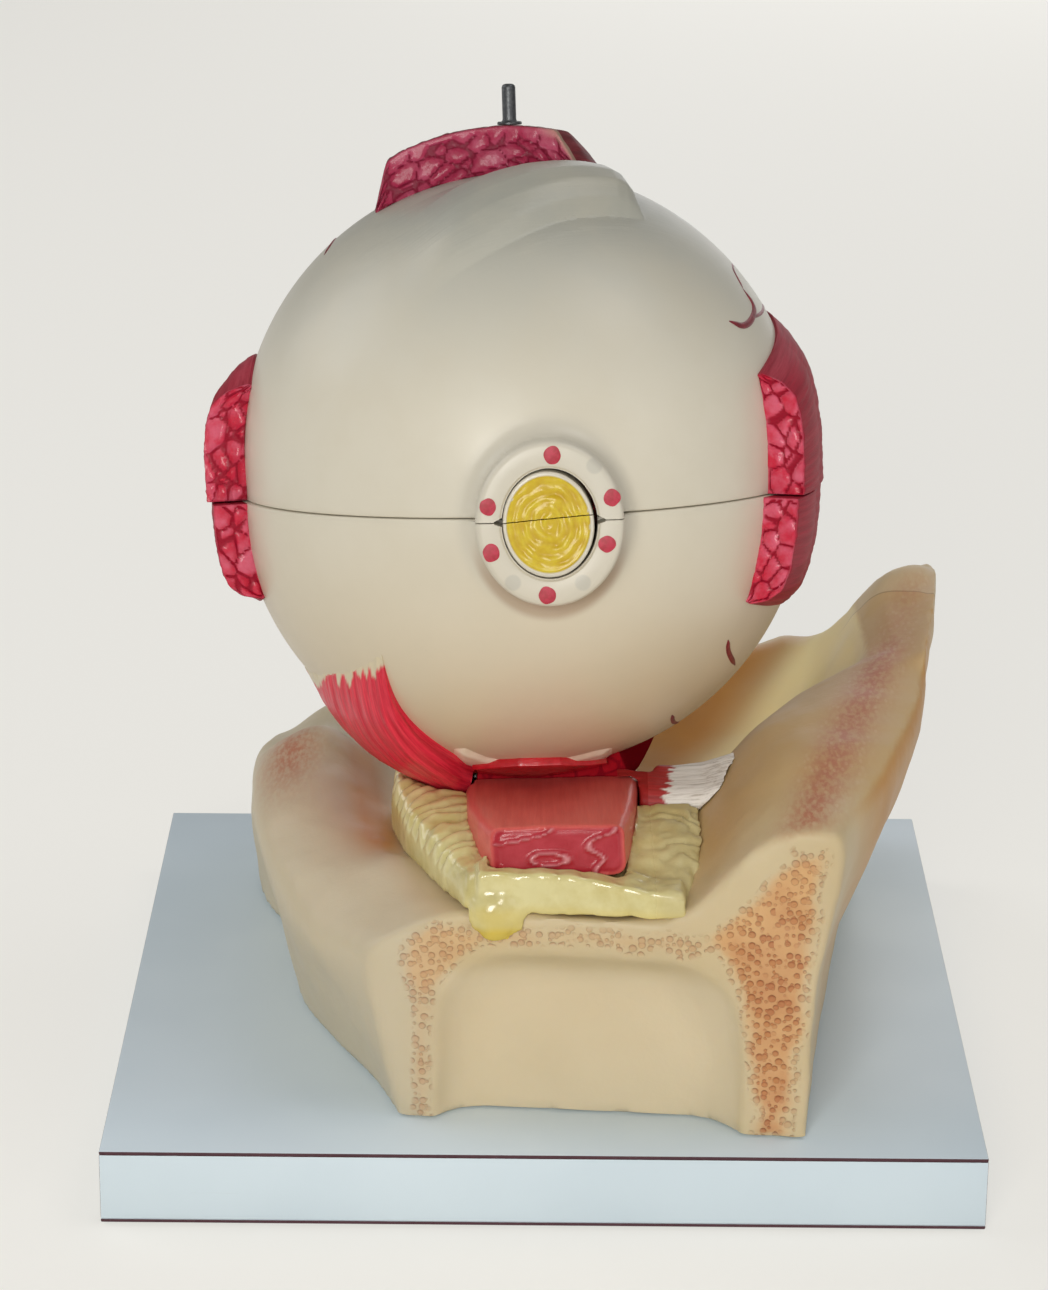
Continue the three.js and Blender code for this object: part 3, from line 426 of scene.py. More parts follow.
FINISHES = {
    "sclera": sclera_finish(),
    "muscle": muscle_finish(
        "muscle_red_paint", "#9c0f2c", "#cb2341", "#d9607a", ("#8a1228", "#b4263c"),
        streak=0.7, worn=0.25, coat=0.35, shine=0.0,
    ),
    "crown": muscle_finish(
        "superior_rectus_paint", "#7c1230", "#a3294a", "#b54c68", ("#5c121c", "#7c222c"),
        worn=0.0, coat=0.2, shine=0.0,
    ),
    "oblique": muscle_finish("oblique_red_paint", "#be1830", "#ee3a50", "#d65c6a", worn=0.0, shine=0.25),
    # Painted light: the block's sides in a light red, lightened against the eyeball's shadow on its top
    "block": muscle_finish(
        "rectus_block_paint", "#8c1826", "#a82430", "#b53440", ("#cc5650", "#e06c62"),
        streak=0.5, worn=0.0, coat=0.35, shine=0.2,
    ),
    "stub": muscle_finish("oblique_stub_paint", "#93201f", "#b02c2e", "#b02c2e", streak=0.5, worn=0.0),
    # Painted shade: the muscle paint in darker reds, for the inferior rectus under the eyeball
    "shaded_muscle": muscle_finish(
        "muscle_paint_darkened_for_shade", "#7d0d1a", "#98121e", "#a01622",
        streak=0.4, worn=0.0, coat=0.0, shine=0.0, gleam=0.0,
    ),
    # Painted highlight: the ledge, a part of the sclera, in a paler cream than the sclera's paint
    "ledge": plain_finish("ledge_cream_paint", EYE, "#efe4cf", "#e4d6bd", 0.3, 0.3, 0.05),
    "gloss": plain_finish("wet_red_paint", EYE, "#b3121f", "#c81f2c", 0.3, 0.12, 0.1, Coat_Weight=0.5),
    "vein": plain_finish("vein_maroon_paint", EYE, "#6d1722", "#8a2230", 0.8, 0.3, 0.03),
    "dot": plain_finish("vessel_red_paint", EYE, "#a50d2a", "#bb2040", 0.9, 0.3, 0.05),
    "bone": bone_finish(),
    "fat": fat_finish(),
    "tendon": tendon_finish(),
    "laminate": laminate_finish(),
    "chipboard": plain_finish("chipboard_flakes", BOARD, "#a98a63", "#8a6b45", 0.6, 0.8, 0.4),
    "steel": plain_finish(
        "turned_steel", EYE, "#66686a", "#55575a", 1.2, 0.36, 0.02, Metallic=1.0, Specular_IOR_Level=0.5
    ),
    "core": core_finish(),
    "coat": coat_finish(),
    "iris": iris_finish(),
    "cornea": clear_finish("cornea_clear", "#e9f4f6"),
    "clear": clear_finish("vitreous_clear", "#e6f1f4"),
    "lens": clear_finish("lens_clear", "#f2efdc"),
}


# Making pieces

def object_of(bm, name):
    mesh = bpy.data.meshes.new(name)
    bm.to_mesh(mesh)
    bm.free()
    obj = bpy.data.objects.new(name, mesh)
    bpy.context.scene.collection.objects.link(obj)
    return obj


def applied(obj, helpers=()):
    """The shape of an object with its modifiers applied. The object and its helpers are removed"""
    graph = bpy.context.evaluated_depsgraph_get()
    mesh = bpy.data.meshes.new_from_object(obj.evaluated_get(graph))
    made = bmesh.new()
    made.from_mesh(mesh)
    for gone in (obj, *helpers):
        bpy.data.objects.remove(gone)
    return made


def carved(bm, tools, operation="DIFFERENCE"):
    """A closed piece with other closed pieces taken away from it, or added to it"""
    obj = object_of(bm, "work")
    helpers = [object_of(tool, "tool") for tool in tools]
    for helper in helpers:
        modifier = obj.modifiers.new("carve", "BOOLEAN")
        modifier.operation = operation
        modifier.solver = "MANIFOLD"
        modifier.object = helper
    return applied(obj, helpers)


def remeshed(bm, size):
    """The same shape in even squares of that size, fine enough to carve"""
    obj = object_of(bm, "work")
    modifier = obj.modifiers.new("even", "REMESH")
    modifier.mode = "VOXEL"
    modifier.voxel_size = size
    return applied(obj)


def finish_piece(name, bm, place, body, finish, stands_for=(), sharp=35):
    """Puts a piece in its place, paints it, hangs it on its body, and hides the CAD nodes it stands for"""
    bm.transform(Matrix.Scale(MM, 4) @ place)
    obj = object_of(bm, name)
    obj.data.shade_smooth()
    obj.data.set_sharp_from_angle(angle=math.radians(sharp))
    obj.data.materials.append(FINISHES[finish])
    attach(obj, body)
    if stands_for:
        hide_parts(*stands_for)


def copied(node, place):
    """A copy of a CAD node, merged, in its own millimetres"""
    bm = bmesh.new()
    bm.from_mesh(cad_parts[node].data)
    bmesh.ops.remove_doubles(bm, verts=bm.verts, dist=2e-6)
    bm.transform((Matrix.Scale(MM, 4) @ place).inverted())
    return bm


def outward(bm):
    bmesh.ops.recalc_face_normals(bm, faces=bm.faces)
    return bm


def edges_of(geometry):
    return [g for g in geometry if isinstance(g, bmesh.types.BMEdge)]


def verts_of(geometry):
    return [g for g in geometry if isinstance(g, bmesh.types.BMVert)]


def places(bm):
    return np.array([v.co for v in bm.verts], float)


def surface(bm):
    """The places of the vertices, and where they face"""
    bm.normal_update()
    return places(bm), np.array([v.normal for v in bm.verts])


def move_to(bm, points):
    for v, p in zip(bm.verts, points):
        v.co = p


def softened(bm, rounds, where=lambda p: True):
    chosen = [v for v in bm.verts if where(v.co)]
    for _ in range(rounds):
        bmesh.ops.smooth_vert(bm, verts=chosen, factor=0.5, use_axis_x=True, use_axis_y=True, use_axis_z=True)


def cut_back(bm, middle, away):
    """Takes off what lies on one side of a plane, and gives the edges of the cut"""
    everything = bm.verts[:] + bm.edges[:] + bm.faces[:]
    cut = bmesh.ops.bisect_plane(bm, geom=everything, plane_co=middle, plane_no=away, clear_outer=True)
    return edges_of(cut["geom_cut"])


def turned(profile, axis, steps):
    """A closed turned form. Profile points are [radius, place along the axis]"""
    bm = bmesh.new()
    along = Vector((0, 1, 0)) if axis == "Y" else Vector((0, 0, 1))
    verts = [bm.verts.new(Vector((r, 0, 0)) + along * h) for r, h in profile]
    edges = [bm.edges.new(pair) for pair in zip(verts, verts[1:])]
    if profile[0][0] > 0:
        edges.append(bm.edges.new((verts[-1], verts[0])))
    bmesh.ops.spin(
        bm, geom=verts + edges, axis=along, cent=(0, 0, 0), angle=math.tau, steps=steps, use_merge=True
    )
    bmesh.ops.remove_doubles(bm, verts=bm.verts, dist=1e-4)
    return outward(bm)


def arc(centre, radius, start, end, steps):
    """Profile points round a centre on the axis, between two angles from the axis in degrees"""
    turns = [math.radians(start + (end - start) * i / steps) for i in range(steps + 1)]
    on_axis = 1e-9
    across = [math.sin(t) if abs(math.sin(t)) > on_axis else 0 for t in turns]
    return [[max(radius * share, 0), centre + radius * math.cos(t)] for share, t in zip(across, turns)]


def swept(rings):
    """A closed form through rings with the same number of points, with flat ends"""
    bm = bmesh.new()
    verts = bmesh.ops.create_circle(bm, cap_ends=False, segments=len(rings[0]), radius=1)["verts"]
    edges = list({e for v in verts for e in v.link_edges})
    for v, p in zip(verts, rings[0]):
        v.co = p
    bmesh.ops.contextual_create(bm, geom=edges)
    for ring in rings[1:]:
        extruded = bmesh.ops.extrude_edge_only(bm, edges=edges)["geom"]
        edges = edges_of(extruded)
        follow = {}
        for v in verts_of(extruded):
            source = next(e.other_vert(v) for e in v.link_edges if e not in edges)
            follow[source] = v
        verts = [follow[v] for v in verts]
        for v, p in zip(verts, ring):
            v.co = p
    bmesh.ops.contextual_create(bm, geom=edges)
    return outward(bm)


def ellipse(centre, half, y, points=96):
    turns = np.linspace(0, math.tau, points, endpoint=False)
    return [(centre[0] + half[0] * math.cos(t), y, centre[1] + half[1] * math.sin(t)) for t in turns]


def rounded(left, right, bottom, top, radius, per_corner):
    """The outline of a rounded rectangle as [across, up]"""
    corners = [
        (right - radius, top - radius, 0),
        (left + radius, top - radius, 90),
        (left + radius, bottom + radius, 180),
        (right - radius, bottom + radius, 270),
    ]
    outline = []
    for x, z, start in corners:
        for i in range(per_corner + 1):
            t = math.radians(start + 90 * i / per_corner)
            outline.append((x + radius * math.cos(t), z + radius * math.sin(t)))
    return outline


def flow(points, shares):
    """Points at the given shares of the smooth curve through the given points"""
    p = np.array(points, float)
    p = np.vstack([2 * p[0] - p[1], p, 2 * p[-1] - p[-2]])
    place = np.clip(np.asarray(shares, float), 0, 1) * (len(points) - 1)
    i = np.minimum(place.astype(int), len(points) - 2)
    t = (place - i)[:, None]
    a, b, c, d = p[i], p[i + 1], p[i + 2], p[i + 3]
    before, here, after = (
        np.maximum(np.linalg.norm(q - r, axis=1) ** 0.5, 1e-4)[:, None] for q, r in ((b, a), (c, b), (d, c))
    )
    first = ((b - a) / before - (c - a) / (before + here) + (c - b) / here) * here
    last = ((c - b) / here - (d - b) / (here + after) + (d - c) / after) * here
    return b + first * t + (-3 * b + 3 * c - 2 * first - last) * t**2 + (2 * b - 2 * c + first + last) * t**3


def on_shell(shell, points, proud):
    """Points moved out or in until they stand that far proud of an eyeball half"""
    radius, rise = shell
    centre = np.zeros_like(points)
    centre[:, 2] = np.clip(points[:, 2], 0, rise)
    out = points - centre
    out /= np.linalg.norm(out, axis=1)[:, None]
    return centre + out * (radius + np.asarray(proud).reshape(-1, 1))


def smooth_step(value, low, high):
    t = np.clip((value - low) / (high - low), 0, 1)
    return t * t * (3 - 2 * t)


def hill(value, middle, width):
    """1 at the middle, falling off smoothly to both sides"""
    return np.exp(-(((value - middle) / width) ** 2))


def block(along, across, deep):
    """The surface of a unit block, in rows that many each way"""
    bm = bmesh.new()
    bmesh.ops.create_grid(bm, x_segments=along, y_segments=across, size=0.5)
    bmesh.ops.translate(bm, vec=(0.5, 0.5, 0), verts=bm.verts)
    made = bmesh.ops.extrude_face_region(bm, geom=bm.faces[:])["geom"]
    bmesh.ops.translate(bm, vec=(0, 0, 1), verts=verts_of(made))
    upright = [e for e in bm.edges if abs(e.verts[0].co.z - e.verts[1].co.z) > 0.5]
    bmesh.ops.subdivide_edges(bm, edges=upright, cuts=deep - 1, use_grid_fill=True)
    return outward(bm)


def mark(bm, name, values):
    """Keeps a number for each vertex, which a finish reads by its name"""
    layer = bm.verts.layers.float.new(name)
    for v, value in zip(bm.verts, values):
        v[layer] = float(value)


def mark_fibre(bm, values):
    layer = bm.verts.layers.float_vector.new("fibre")
    for v, value in zip(bm.verts, values):
        v[layer] = value


def noise_at(x, y, z):
    return noise.noise(Vector((x, y, z)))


def grain(points, spread, octaves=3):
    return np.array([noise.fractal(Vector(p * np.array(spread)), 1.0, 2.1, octaves) for p in points])


def bundles(points, size):
    """0 in the grooves between muscle bundles and 1 on them"""
    heights = []
    for p in points:
        near, next_near = noise.voronoi(Vector(p) / size, distance_metric="DISTANCE", exponent=2.5)[0][:2]
        heights.append(next_near - near)
    return smooth_step(np.array(heights), 0.0, 0.24)


def fleshed(bm, uvw, size, cut_end, cell, striated, groove_depth=0.7, band=0.0):
    """Bundles on the cut end and fibres along the sides of a muscle whose block places are u, v, w"""
    along, across, deep = size
    fibre = uvw * np.array([along, across, deep])
    points, normals = surface(bm)
    u, v, w = uvw.T
    end = (u < 1e-6) if cut_end == 0 else (u > 1 - 1e-6)
    edge = np.minimum(np.minimum(v, 1 - v) * across, np.minimum(w * deep, (1 - w) * deep - band))
    cut = end * smooth_step(edge, -0.1, 0.6)
    on_end = np.where(end)[0]
    spots = fibre[on_end] * np.array([0, 0.85, 1.15]) + across
    height = bundles(spots, cell)
    groove = np.zeros(len(points))
    groove[on_end] = 1 - height
    lift = np.zeros(len(points))
    lift[on_end] = ((height - 1) * groove_depth + grain(spots, (0.9, 0.9, 0.9), 2) * 0.12) * cut[on_end]
    sides = np.where(~end)[0]
    lift[sides] += grain(fibre[sides], (0.05, 0.85, 0.3)) * striated * smooth_step(w[sides], 0.05, 0.4)
    move_to(bm, points + normals * lift[:, None])
    mark_fibre(bm, fibre)
    mark(bm, "groove", smooth_step(groove, 0.25, 0.95) * cut)
    mark(bm, "cut", end * smooth_step(edge, -0.4 - band, 0.3 - band))
    mark(bm, "across", v)


def strap(shell, first, second, thickness, across, size, upright=False):
    """A muscle strap on an eyeball half between two edges, and the block places of its vertices"""
    cell, sunk = 0.5, -0.25
    bm = block(*(max(3, round(length / cell)) for length in size))
    uvw = places(bm)
    u, v, w = uvw.T
    a, b = flow(first, u), flow(second, u)
    line = a + (b - a) * v[:, None]
    below = on_shell(shell, line, np.full(len(u), sunk))
    shares, heights = zip(*across)
    rise = np.interp(u, np.linspace(0, 1, len(thickness)), thickness) * np.interp(v, shares, heights) - sunk
    if upright:
        above = below + rise[:, None] * np.array([0, 0, 1.0])
    else:
        rise += 0.5
        above = on_shell(shell, line, rise + sunk)
    move_to(bm, below + (above - below) * w[:, None])
    outward(bm)
    softened(bm, 2)
    return bm, uvw


# Board

SCREW_PLACES = [(-18, -48), (42, -48), (8, 46)]
# Recess and head as [radius, height over the board's underside]
SCREW_HEAD = [[0, 1.6], [1.6, 1.6], [2.2, 0.45], [3.9, 0.42], [4, 0.7], [2.2, 2.9], [2, 3.4]]
SCREW_CORE, SCREW_THREAD, SCREW_PITCH, SCREW_TURNS = 1.55, 2, 1.8, 14
SCREW_LENGTH = 36
LAMINATE_BEVEL = 0.25


def laminate_sheet(node, thin):
    """A sheet or edge strip of laminate, dark on its narrow sides. Thin is the axis of its thickness"""
    low, high = [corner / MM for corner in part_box(node)]
    bm = bmesh.new()
    spread = Matrix.Diagonal((*(high - low), 1))
    bmesh.ops.create_cube(bm, size=1, matrix=Matrix.Translation((low + high) / 2) @ spread)
    bmesh.ops.bevel(
        bm, geom=bm.edges[:], offset=LAMINATE_BEVEL, offset_type="OFFSET", segments=2, profile=0.5,
        affect="EDGES", material=-1,
    )
    long_edges = [e for e in bm.edges if e.calc_length() > 100]
    bmesh.ops.subdivide_edges(bm, edges=long_edges, cuts=5, use_grid_fill=True)
    bm.normal_update()
    layer = bm.faces.layers.float.new("edge")
    for face in bm.faces:
        face[layer] = 1.0 if abs(face.normal[thin]) < 0.6 else 0.0
    finish_piece(node + "_panel", bm, BOARD, "base", "laminate", [node])


def make_board():
    for node in ("top_laminate", "bottom_laminate"):
        laminate_sheet(node, 2)
    for node in ("rear_edge_strip", "front_edge_strip"):
        laminate_sheet(node, 1)
    for node in ("left_edge_strip", "right_edge_strip"):
        laminate_sheet(node, 0)
    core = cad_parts["board_core"].data
    core.materials.clear()
    core.materials.append(FINISHES["chipboard"])
    for number, place in enumerate(SCREW_PLACES, 1):
        profile = list(SCREW_HEAD)
        for turn in range(SCREW_TURNS):
            height = 5 + turn * SCREW_PITCH
            profile += [[SCREW_CORE, height], [SCREW_THREAD, height + 0.35]]
            profile += [[SCREW_THREAD, height + 0.55], [SCREW_CORE, height + 0.9]]
        profile += [[1.5, SCREW_LENGTH - 4], [0, SCREW_LENGTH]]
        bm = turned(profile, "Z", 24)
        bmesh.ops.translate(bm, vec=(*place, 0), verts=bm.verts)
        node = f"orbit_screw_{number}"
        finish_piece(f"countersunk_screw_{number}", bm, BOARD, "base", "steel", [node])


# Eyeball

# The superior oblique tendon under the skin: its two edges, and its height along and across it
RIDGE_FIRST = [[27.3, -20.8, 56.1], [11, -30.8, 57.2], [-5.1, -40.1, 51.2], [-24, -45, 38.5]]
RIDGE_SECOND = [[19.6, -6, 63.5], [10, -9, 65.6], [-4, -12, 65.7], [-25, -18, 58.6]]
RIDGE_HEIGHTS = [
    [0, 1.2], [0.04, 3.4], [0.08, 4.9], [0.13, 5.6], [0.22, 5.8],
    [0.33, 5.8], [0.5, 5.2], [0.66, 4.1], [0.83, 2.4], [1, 0.6],
]
RIDGE_ACROSS = [[0, 0.01], [0.14, 0.55], [0.32, 0.95], [0.52, 1], [0.78, 0.82], [1, 0.02]]

# The ring round the nerve: how far back, and its half widths
SHEATH_STATIONS = [
    (52, 13.5, 15.3), (59, 14.7, 16.5), (66.4, 14.75, 16.55), (67.4, 14.5, 16.3), (67.85, 14.05, 15.85),
    (68, 13.4, 15.2), (68, 10.6, 12.1), (67.85, 10, 11.5), (67.3, 9.6, 11.1),
]


def ridge_heights(points):
    """How far the superior oblique tendon lifts the upper half at these points"""
    near_enough, spread = 2.5, 0.9
    shares = np.linspace(-0.02, 1, 90)
    widths = np.linspace(-0.06, 1.06, 60)
    tree = kdtree.KDTree(len(shares) * len(widths))
    a, b = flow(RIDGE_FIRST, shares), flow(RIDGE_SECOND, shares)
    for side in (a, b):
        side[shares < 0] += (side[1] - side[2]) * 2
    spots = []
    for v in widths:
        line = on_shell(UPPER, a + (b - a) * v, np.zeros(len(a)))
        for u, p in zip(shares, line):
            tree.insert(p, len(spots))
            spots.append((u, v))
    tree.balance()
    lift = np.zeros(len(points))
    levels, rises = zip(*RIDGE_HEIGHTS)
    flat, heights = zip(*RIDGE_ACROSS)
    for i, p in enumerate(points):
        near = tree.find_n(p, 24)
        if near[0][2] > near_enough:
            continue
        weights = np.array([math.exp(-((distance / spread) ** 2)) for _, _, distance in near]) + 1e-9
        u, v = (weights[:, None] * np.array([spots[n[1]] for n in near])).sum(0) / weights.sum()
        ends = smooth_step(u, -0.015, 0.02) * smooth_step(1 - u, 0, 0.25)
        lift[i] = np.interp(u, levels, rises) * np.interp(v, flat, heights) * ends
    return lift


def near_nerve(points):
    """Millimetres outside the nerve sheath's outline, at points on the nerve side"""
    across = (points[:, 0] - NERVE[0]) / SHEATH[0]
    up = (points[:, 2] - NERVE[1]) / SHEATH[1]
    far_side = (points[:, 1] > 0) * 100
    return (np.hypot(across, up) - 1) * (SHEATH[0] + SHEATH[1]) / 2 + far_side


def refined(bm, chosen):
    """Cuts the faces whose middles are chosen into smaller ones"""
    faces = [f for f in bm.faces if chosen(f.calc_center_median())]
    edges = list({e for f in faces for e in f.edges})
    bmesh.ops.subdivide_edges(bm, edges=edges, cuts=2, use_grid_fill=True)


def sheath(sign):
    """The ring round the nerve, as far as it belongs to one half of the eyeball"""
    bm = swept([ellipse(NERVE, half, -back) for back, *half in SHEATH_STATIONS])
    edges = cut_back(bm, (0, 0, sign * SEAM), (0, 0, -sign))
    bmesh.ops.contextual_create(bm, geom=edges)
    return outward(bm)


def sheath_bore():
    """The hole in the ring that the nerve core lies in"""
    return swept([ellipse(NERVE, SHEATH_BORE, -back) for back in (SHEATH_END + 3, 45)])


def notch(side):
    """The worn inner corner of the ring where its two halves meet"""
    x = NERVE[0] + side * (SHEATH_BORE[0] + 0.2)
    inner, outer = x - side * 0.5, x + side * 1.3
    corners = [(outer, -0.25), (outer, 0.25), (inner, 1.1), (inner, -1.0)]
    backs = (SHEATH_END + 1, SHEATH_END - 7)
    return swept([[(across, -back, up) for across, up in corners] for back in backs])


def cornea_opening():
    """The stepped opening at the front, which the cornea is pushed into"""
    lip = CORNEA_EDGE - 2.4
    clear = CORNEA_EDGE + CORNEA_PLAY
    seat = CORNEA_SEAT - CORNEA_PLAY
    inside, outside = 38, 75
    profile = [[0, inside], [lip, inside], [lip, seat], [clear, seat], [clear, outside], [0, outside]]
    return turned(profile, "Y", 128)


def dowel(side, grow):
    """One of the two dowels in the seam, grown by a clearance where it is used to cut its hole"""
    middle = (CAVITY + UPPER[0]) / 2
    x, y = side * middle * math.cos(math.radians(45)), middle * math.sin(math.radians(45))
    half, radius = 4 + grow, 1.2 + grow
    profile = [[0, -half], [0.9 + grow, -half], [radius, 0.4 - half]]
    profile += [[radius, half - 0.4], [0.9 + grow, half], [0, half]]
    bm = turned(profile, "Z", 24)
    bmesh.ops.translate(bm, vec=(x, y, 0), verts=bm.verts)
    return bm


def eyeball_half(upper):
    """Half of the wall, with the tendon ridge on the upper one and a flare up to the nerve ring"""
    shell, sign = (UPPER, 1) if upper else (LOWER, -1)
    radius, rise = shell
    bevel_top = SEAM + SEAM_BEVEL
    outer = arc(rise, radius, 0, 90 if upper else 90 - math.degrees(math.asin(bevel_top / radius)), 64)
    if upper:
        outer += [[radius, rise * share] for share in (0.8, 0.6, 0.4, 0.2)] + [[radius, bevel_top]]
    outer += [[outer[-1][0] - 0.07, SEAM + 0.08], [outer[-1][0] - SEAM_BEVEL, SEAM]]
    edge = 90 - math.degrees(math.asin(SEAM / CAVITY))
    profile = [[r, sign * h] for r, h in outer + arc(0, CAVITY, edge, 0, 40)]
    bm = turned(profile, "Z", 216)

    def outside(p):
        return (p - Vector((0, 0, min(max(p.z, 0), rise)))).length > radius - 0.6

    refined(bm, lambda p: p.y < -50 and outside(p) and abs(near_nerve(np.array([p]))[0]) < 6)
    if upper:
        refined(bm, lambda p: -31 < p.x < 30 and -50 < p.y < 2 and p.z > 36 and outside(p))
    points = places(bm)
    skin = np.array([outside(Vector(p)) and abs(p[2]) > SEAM + 0.2 for p in points])
    points[skin] = on_shell(shell, points[skin], np.zeros(skin.sum()))
    if upper:
        top = skin & (points[:, 2] > 34) & (points[:, 1] < 4)
        points[top] = on_shell(shell, points[top], ridge_heights(points[top]))
    flare = 3.4
    beyond = near_nerve(points)
    inward = flare - np.maximum(beyond, 0)
    lift = np.where(skin & (beyond < flare), flare - np.sqrt(np.maximum(flare**2 - inward**2, 0)), 0)
    points[:, 1] -= lift * smooth_step(np.abs(points[:, 2]), -1, 1.2)
    move_to(bm, points)
    bm = carved(bm, [sheath(sign)], "UNION")
    play = 0.3
    bm = carved(bm, [sheath_bore(), notch(-1), notch(1), cornea_opening(), dowel(-1, play), dowel(1, play)])
    which = "upper" if upper else "lower"
    finish_piece(f"eyeball_{which}_half", bm, EYE, f"{which}_eye", "sclera", [f"sclera_{which}"])


def make_pins():
    seat = sum(UPPER) + CROWN_THICKNESS + 0.3
    collar = seat - 0.9
    stem, collar_radius = 1.45, 2.6
    profile = [
        [0, seat - 9], [stem, seat - 9], [stem, collar], [2.45, collar], [collar_radius, collar + 0.12],
        [collar_radius, collar + 0.5], [2.4, collar + 0.7], [1.75, collar + 0.72], [1.5, collar + 0.95],
        [stem, collar + 1.2], [stem, seat + 6.9], [1.32, seat + 7.3], [1.05, seat + 7.55],
        [0.6, seat + 7.68], [0, seat + 7.7],
    ]
    bm = turned(profile, "Z", 40)
    bmesh.ops.translate(bm, vec=(-0.5, 0, 0), verts=bm.verts)
    finish_piece("crown_pin_with_collar", bm, EYE, "upper_eye", "steel", ["crown_pin"])
    top, tip, foot = SHOULDER_TOP, -56.9, SHOULDER_TOP - 17
    pin, shoulder = 3, 6
    profile = [
        [0, foot], [2.6, foot], [pin, foot + 0.4], [pin, top - 3], [5.8, top - 3], [shoulder, top - 2.8],
        [shoulder, top - 0.2], [5.8, top], [pin, top], [pin, tip - 1], [2.6, tip - 0.3], [2, tip], [0, tip],
    ]
    finish_piece(
        "support_pin_with_shoulder", turned(profile, "Z", 48), EYE, "base", "steel", ["support_pin"]
    )
    for name, side in (("lateral", -1), ("medial", 1)):
        node = f"seam_dowel_{name}"
        finish_piece(node + "_pin", dowel(side, 0), EYE, "lower_eye", "steel", [node])


# Painted veins: name, which half, half width, and the way over the surface
VESSELS = [
    ("medial_hook", "upper", 0.75,
     [(43.3, -29.7, 35.6), (46.2, -26.3, 34.4), (48.5, -20.3, 35.5), (49, -14.9, 37.9), (47.1, -14.2, 41)]),
    ("medial_branch", "upper", 0.4, [(48.5, -20.3, 35.5), (50.2, -12, 35.6), (51.7, -0.9, 37)]),
    ("medial_fork", "upper", 0.35, [(47.1, -14.2, 41), (45.3, -10, 44.4), (45.5, -3, 46)]),
    ("lateral_vein", "upper", 0.5,
     [(-39.9, -9.6, 50.6), (-38.6, -5, 52.2), (-38.1, 0.3, 53.2), (-38.9, 8, 53)]),
    ("lower_vein", "lower", 0.6,
     [(41.5, -32.2, -29.9), (41.3, -29.5, -32), (42.1, -27.2, -33.9), (43.4, -19.8, -37.1)]),
    ("floor_vein", "lower", 0.5, [(29.8, -24.5, -46.6), (30.2, -18, -49), (31.6, -9.7, -50.7)]),
]

# Red dots round the nerve: across, up, radius
DOTS = [
    (6.3, 13.1, 1.75), (-6.7, 3.3, 1.7), (-6.3, -5.8, 1.75),
    (4.5, -14.6, 1.75), (16.6, -4.8, 1.7), (17.8, 4.4, 1.7),
]


def vessel(path, radius, shell):
    """A vein lying on the eyeball, thinner towards its ends"""
    count = 8 * len(path)
    shares = np.linspace(0, 1, count)
    line = on_shell(shell, flow(path, shares), np.zeros(count))
    rings = []
    for i, p in enumerate(line):
        ahead = line[min(i + 1, count - 1)] - line[max(i - 1, 0)]
        ahead /= np.linalg.norm(ahead)
        out = p / np.linalg.norm(p)
        side = np.cross(ahead, out)
        thick = radius * min(1.0, 0.25 + 5 * min(shares[i], 1 - shares[i]))
        turns = np.linspace(0, math.tau, 10, endpoint=False)
        rings.append([p + side * thick * math.cos(t) + out * thick * 0.4 * math.sin(t) for t in turns])
    return swept(rings)


def make_paint():
    for name, which, radius, path in VESSELS:
        bm = vessel(path, radius, UPPER if which == "upper" else LOWER)
        finish_piece(name, bm, EYE, f"{which}_eye", "vein")
    for i, (x, z, radius) in enumerate(DOTS):
        which = "upper" if z > 0 else "lower"
        profile = [[0, -0.25], [radius, -0.25], [radius * 0.97, 0.06], [radius * 0.7, 0.13], [0, 0.16]]
        bm = turned(profile, "Y", 32)
        for v in bm.verts:
            reach = 1 + 0.12 * noise_at(v.co.x * 0.7, v.co.z * 0.7, i * 3.1)
            v.co = Vector((v.co.x * reach + x, -SHEATH_END - v.co.y, v.co.z * reach * 1.05 + z))
        finish_piece(f"vessel_dot_{i + 1}", outward(bm), EYE, f"{which}_eye", "dot")


# Side muscles, cut along the seam: name, left or right, up or down, the edge on the seam as [across, y], the
# other edge, thicknesses from the cut end to the front, and length, width and depth
SIDE_MUSCLES = [
    ("lateral_rectus_upper", -1, 1,
     [[57.7, -15.5], [59.8, -2], [58, 15], [50, 32]],
     [[56.2, -12, 24], [55, -4, 28.8], [52.8, 12, 27], [47, 29, 23]],
     [8.2, 6, 4, 2.2, 0.8], (52, 26, 8)),
    ("medial_rectus_upper", 1, 1,
     [[50, -32], [58.5, -12], [59.5, 10], [47, 37]],
     [[49, -30, 24.5], [54, -9, 31.5], [51.5, 8, 34.5], [42.5, 33, 31]],
     [8, 4.5, 3.2, 2, 0.8], (74, 30, 8)),
    ("lateral_rectus_lower", -1, -1,
     [[57.2, -18.5], [59.8, -2], [58, 15], [50, 32]],
     [[55.5, -15, -20.8], [56, -5, -22.2], [53, 12, -22], [47, 29, -20]],
     [6.8, 5, 3.4, 1.9, 0.7], (52, 21, 7)),
    ("medial_rectus_lower", 1, -1,
     [[49.3, -35], [58.5, -12], [59.5, 10], [47, 37]],
     [[45.3, -33.7, -22], [53.6, -12, -25], [54, 8, -25], [43, 34, -24]],
     [7.8, 3.2, 1.9, 1.3, 0.7], (74, 24, 8)),
]
SIDE_ACROSS = [[0, 1], [0.3, 1], [0.58, 0.99], [0.76, 0.9], [0.9, 0.55], [1, 0.05]]
SUPERIOR_RECTUS = dict(
    first=[[-29.2, -8, 58.9], [-29.6, 2, 59.2], [-29.6, 14, 56.6], [-28, 25, 52]],
    second=[[14.4, -8, 64.8], [18.6, -1, 64.2], [21.6, 10, 62.4], [20, 25, 58]],
    thickness=[CROWN_THICKNESS, 9.1, 7, 4, 1.2],
    across=[[0, 0.05], [0.07, 0.95], [0.15, 1.01], [0.4, 1.02], [0.65, 1], [0.87, 0.95], [1, 0.05]],
    size=(34, 44, 9.8), upright=True,
)
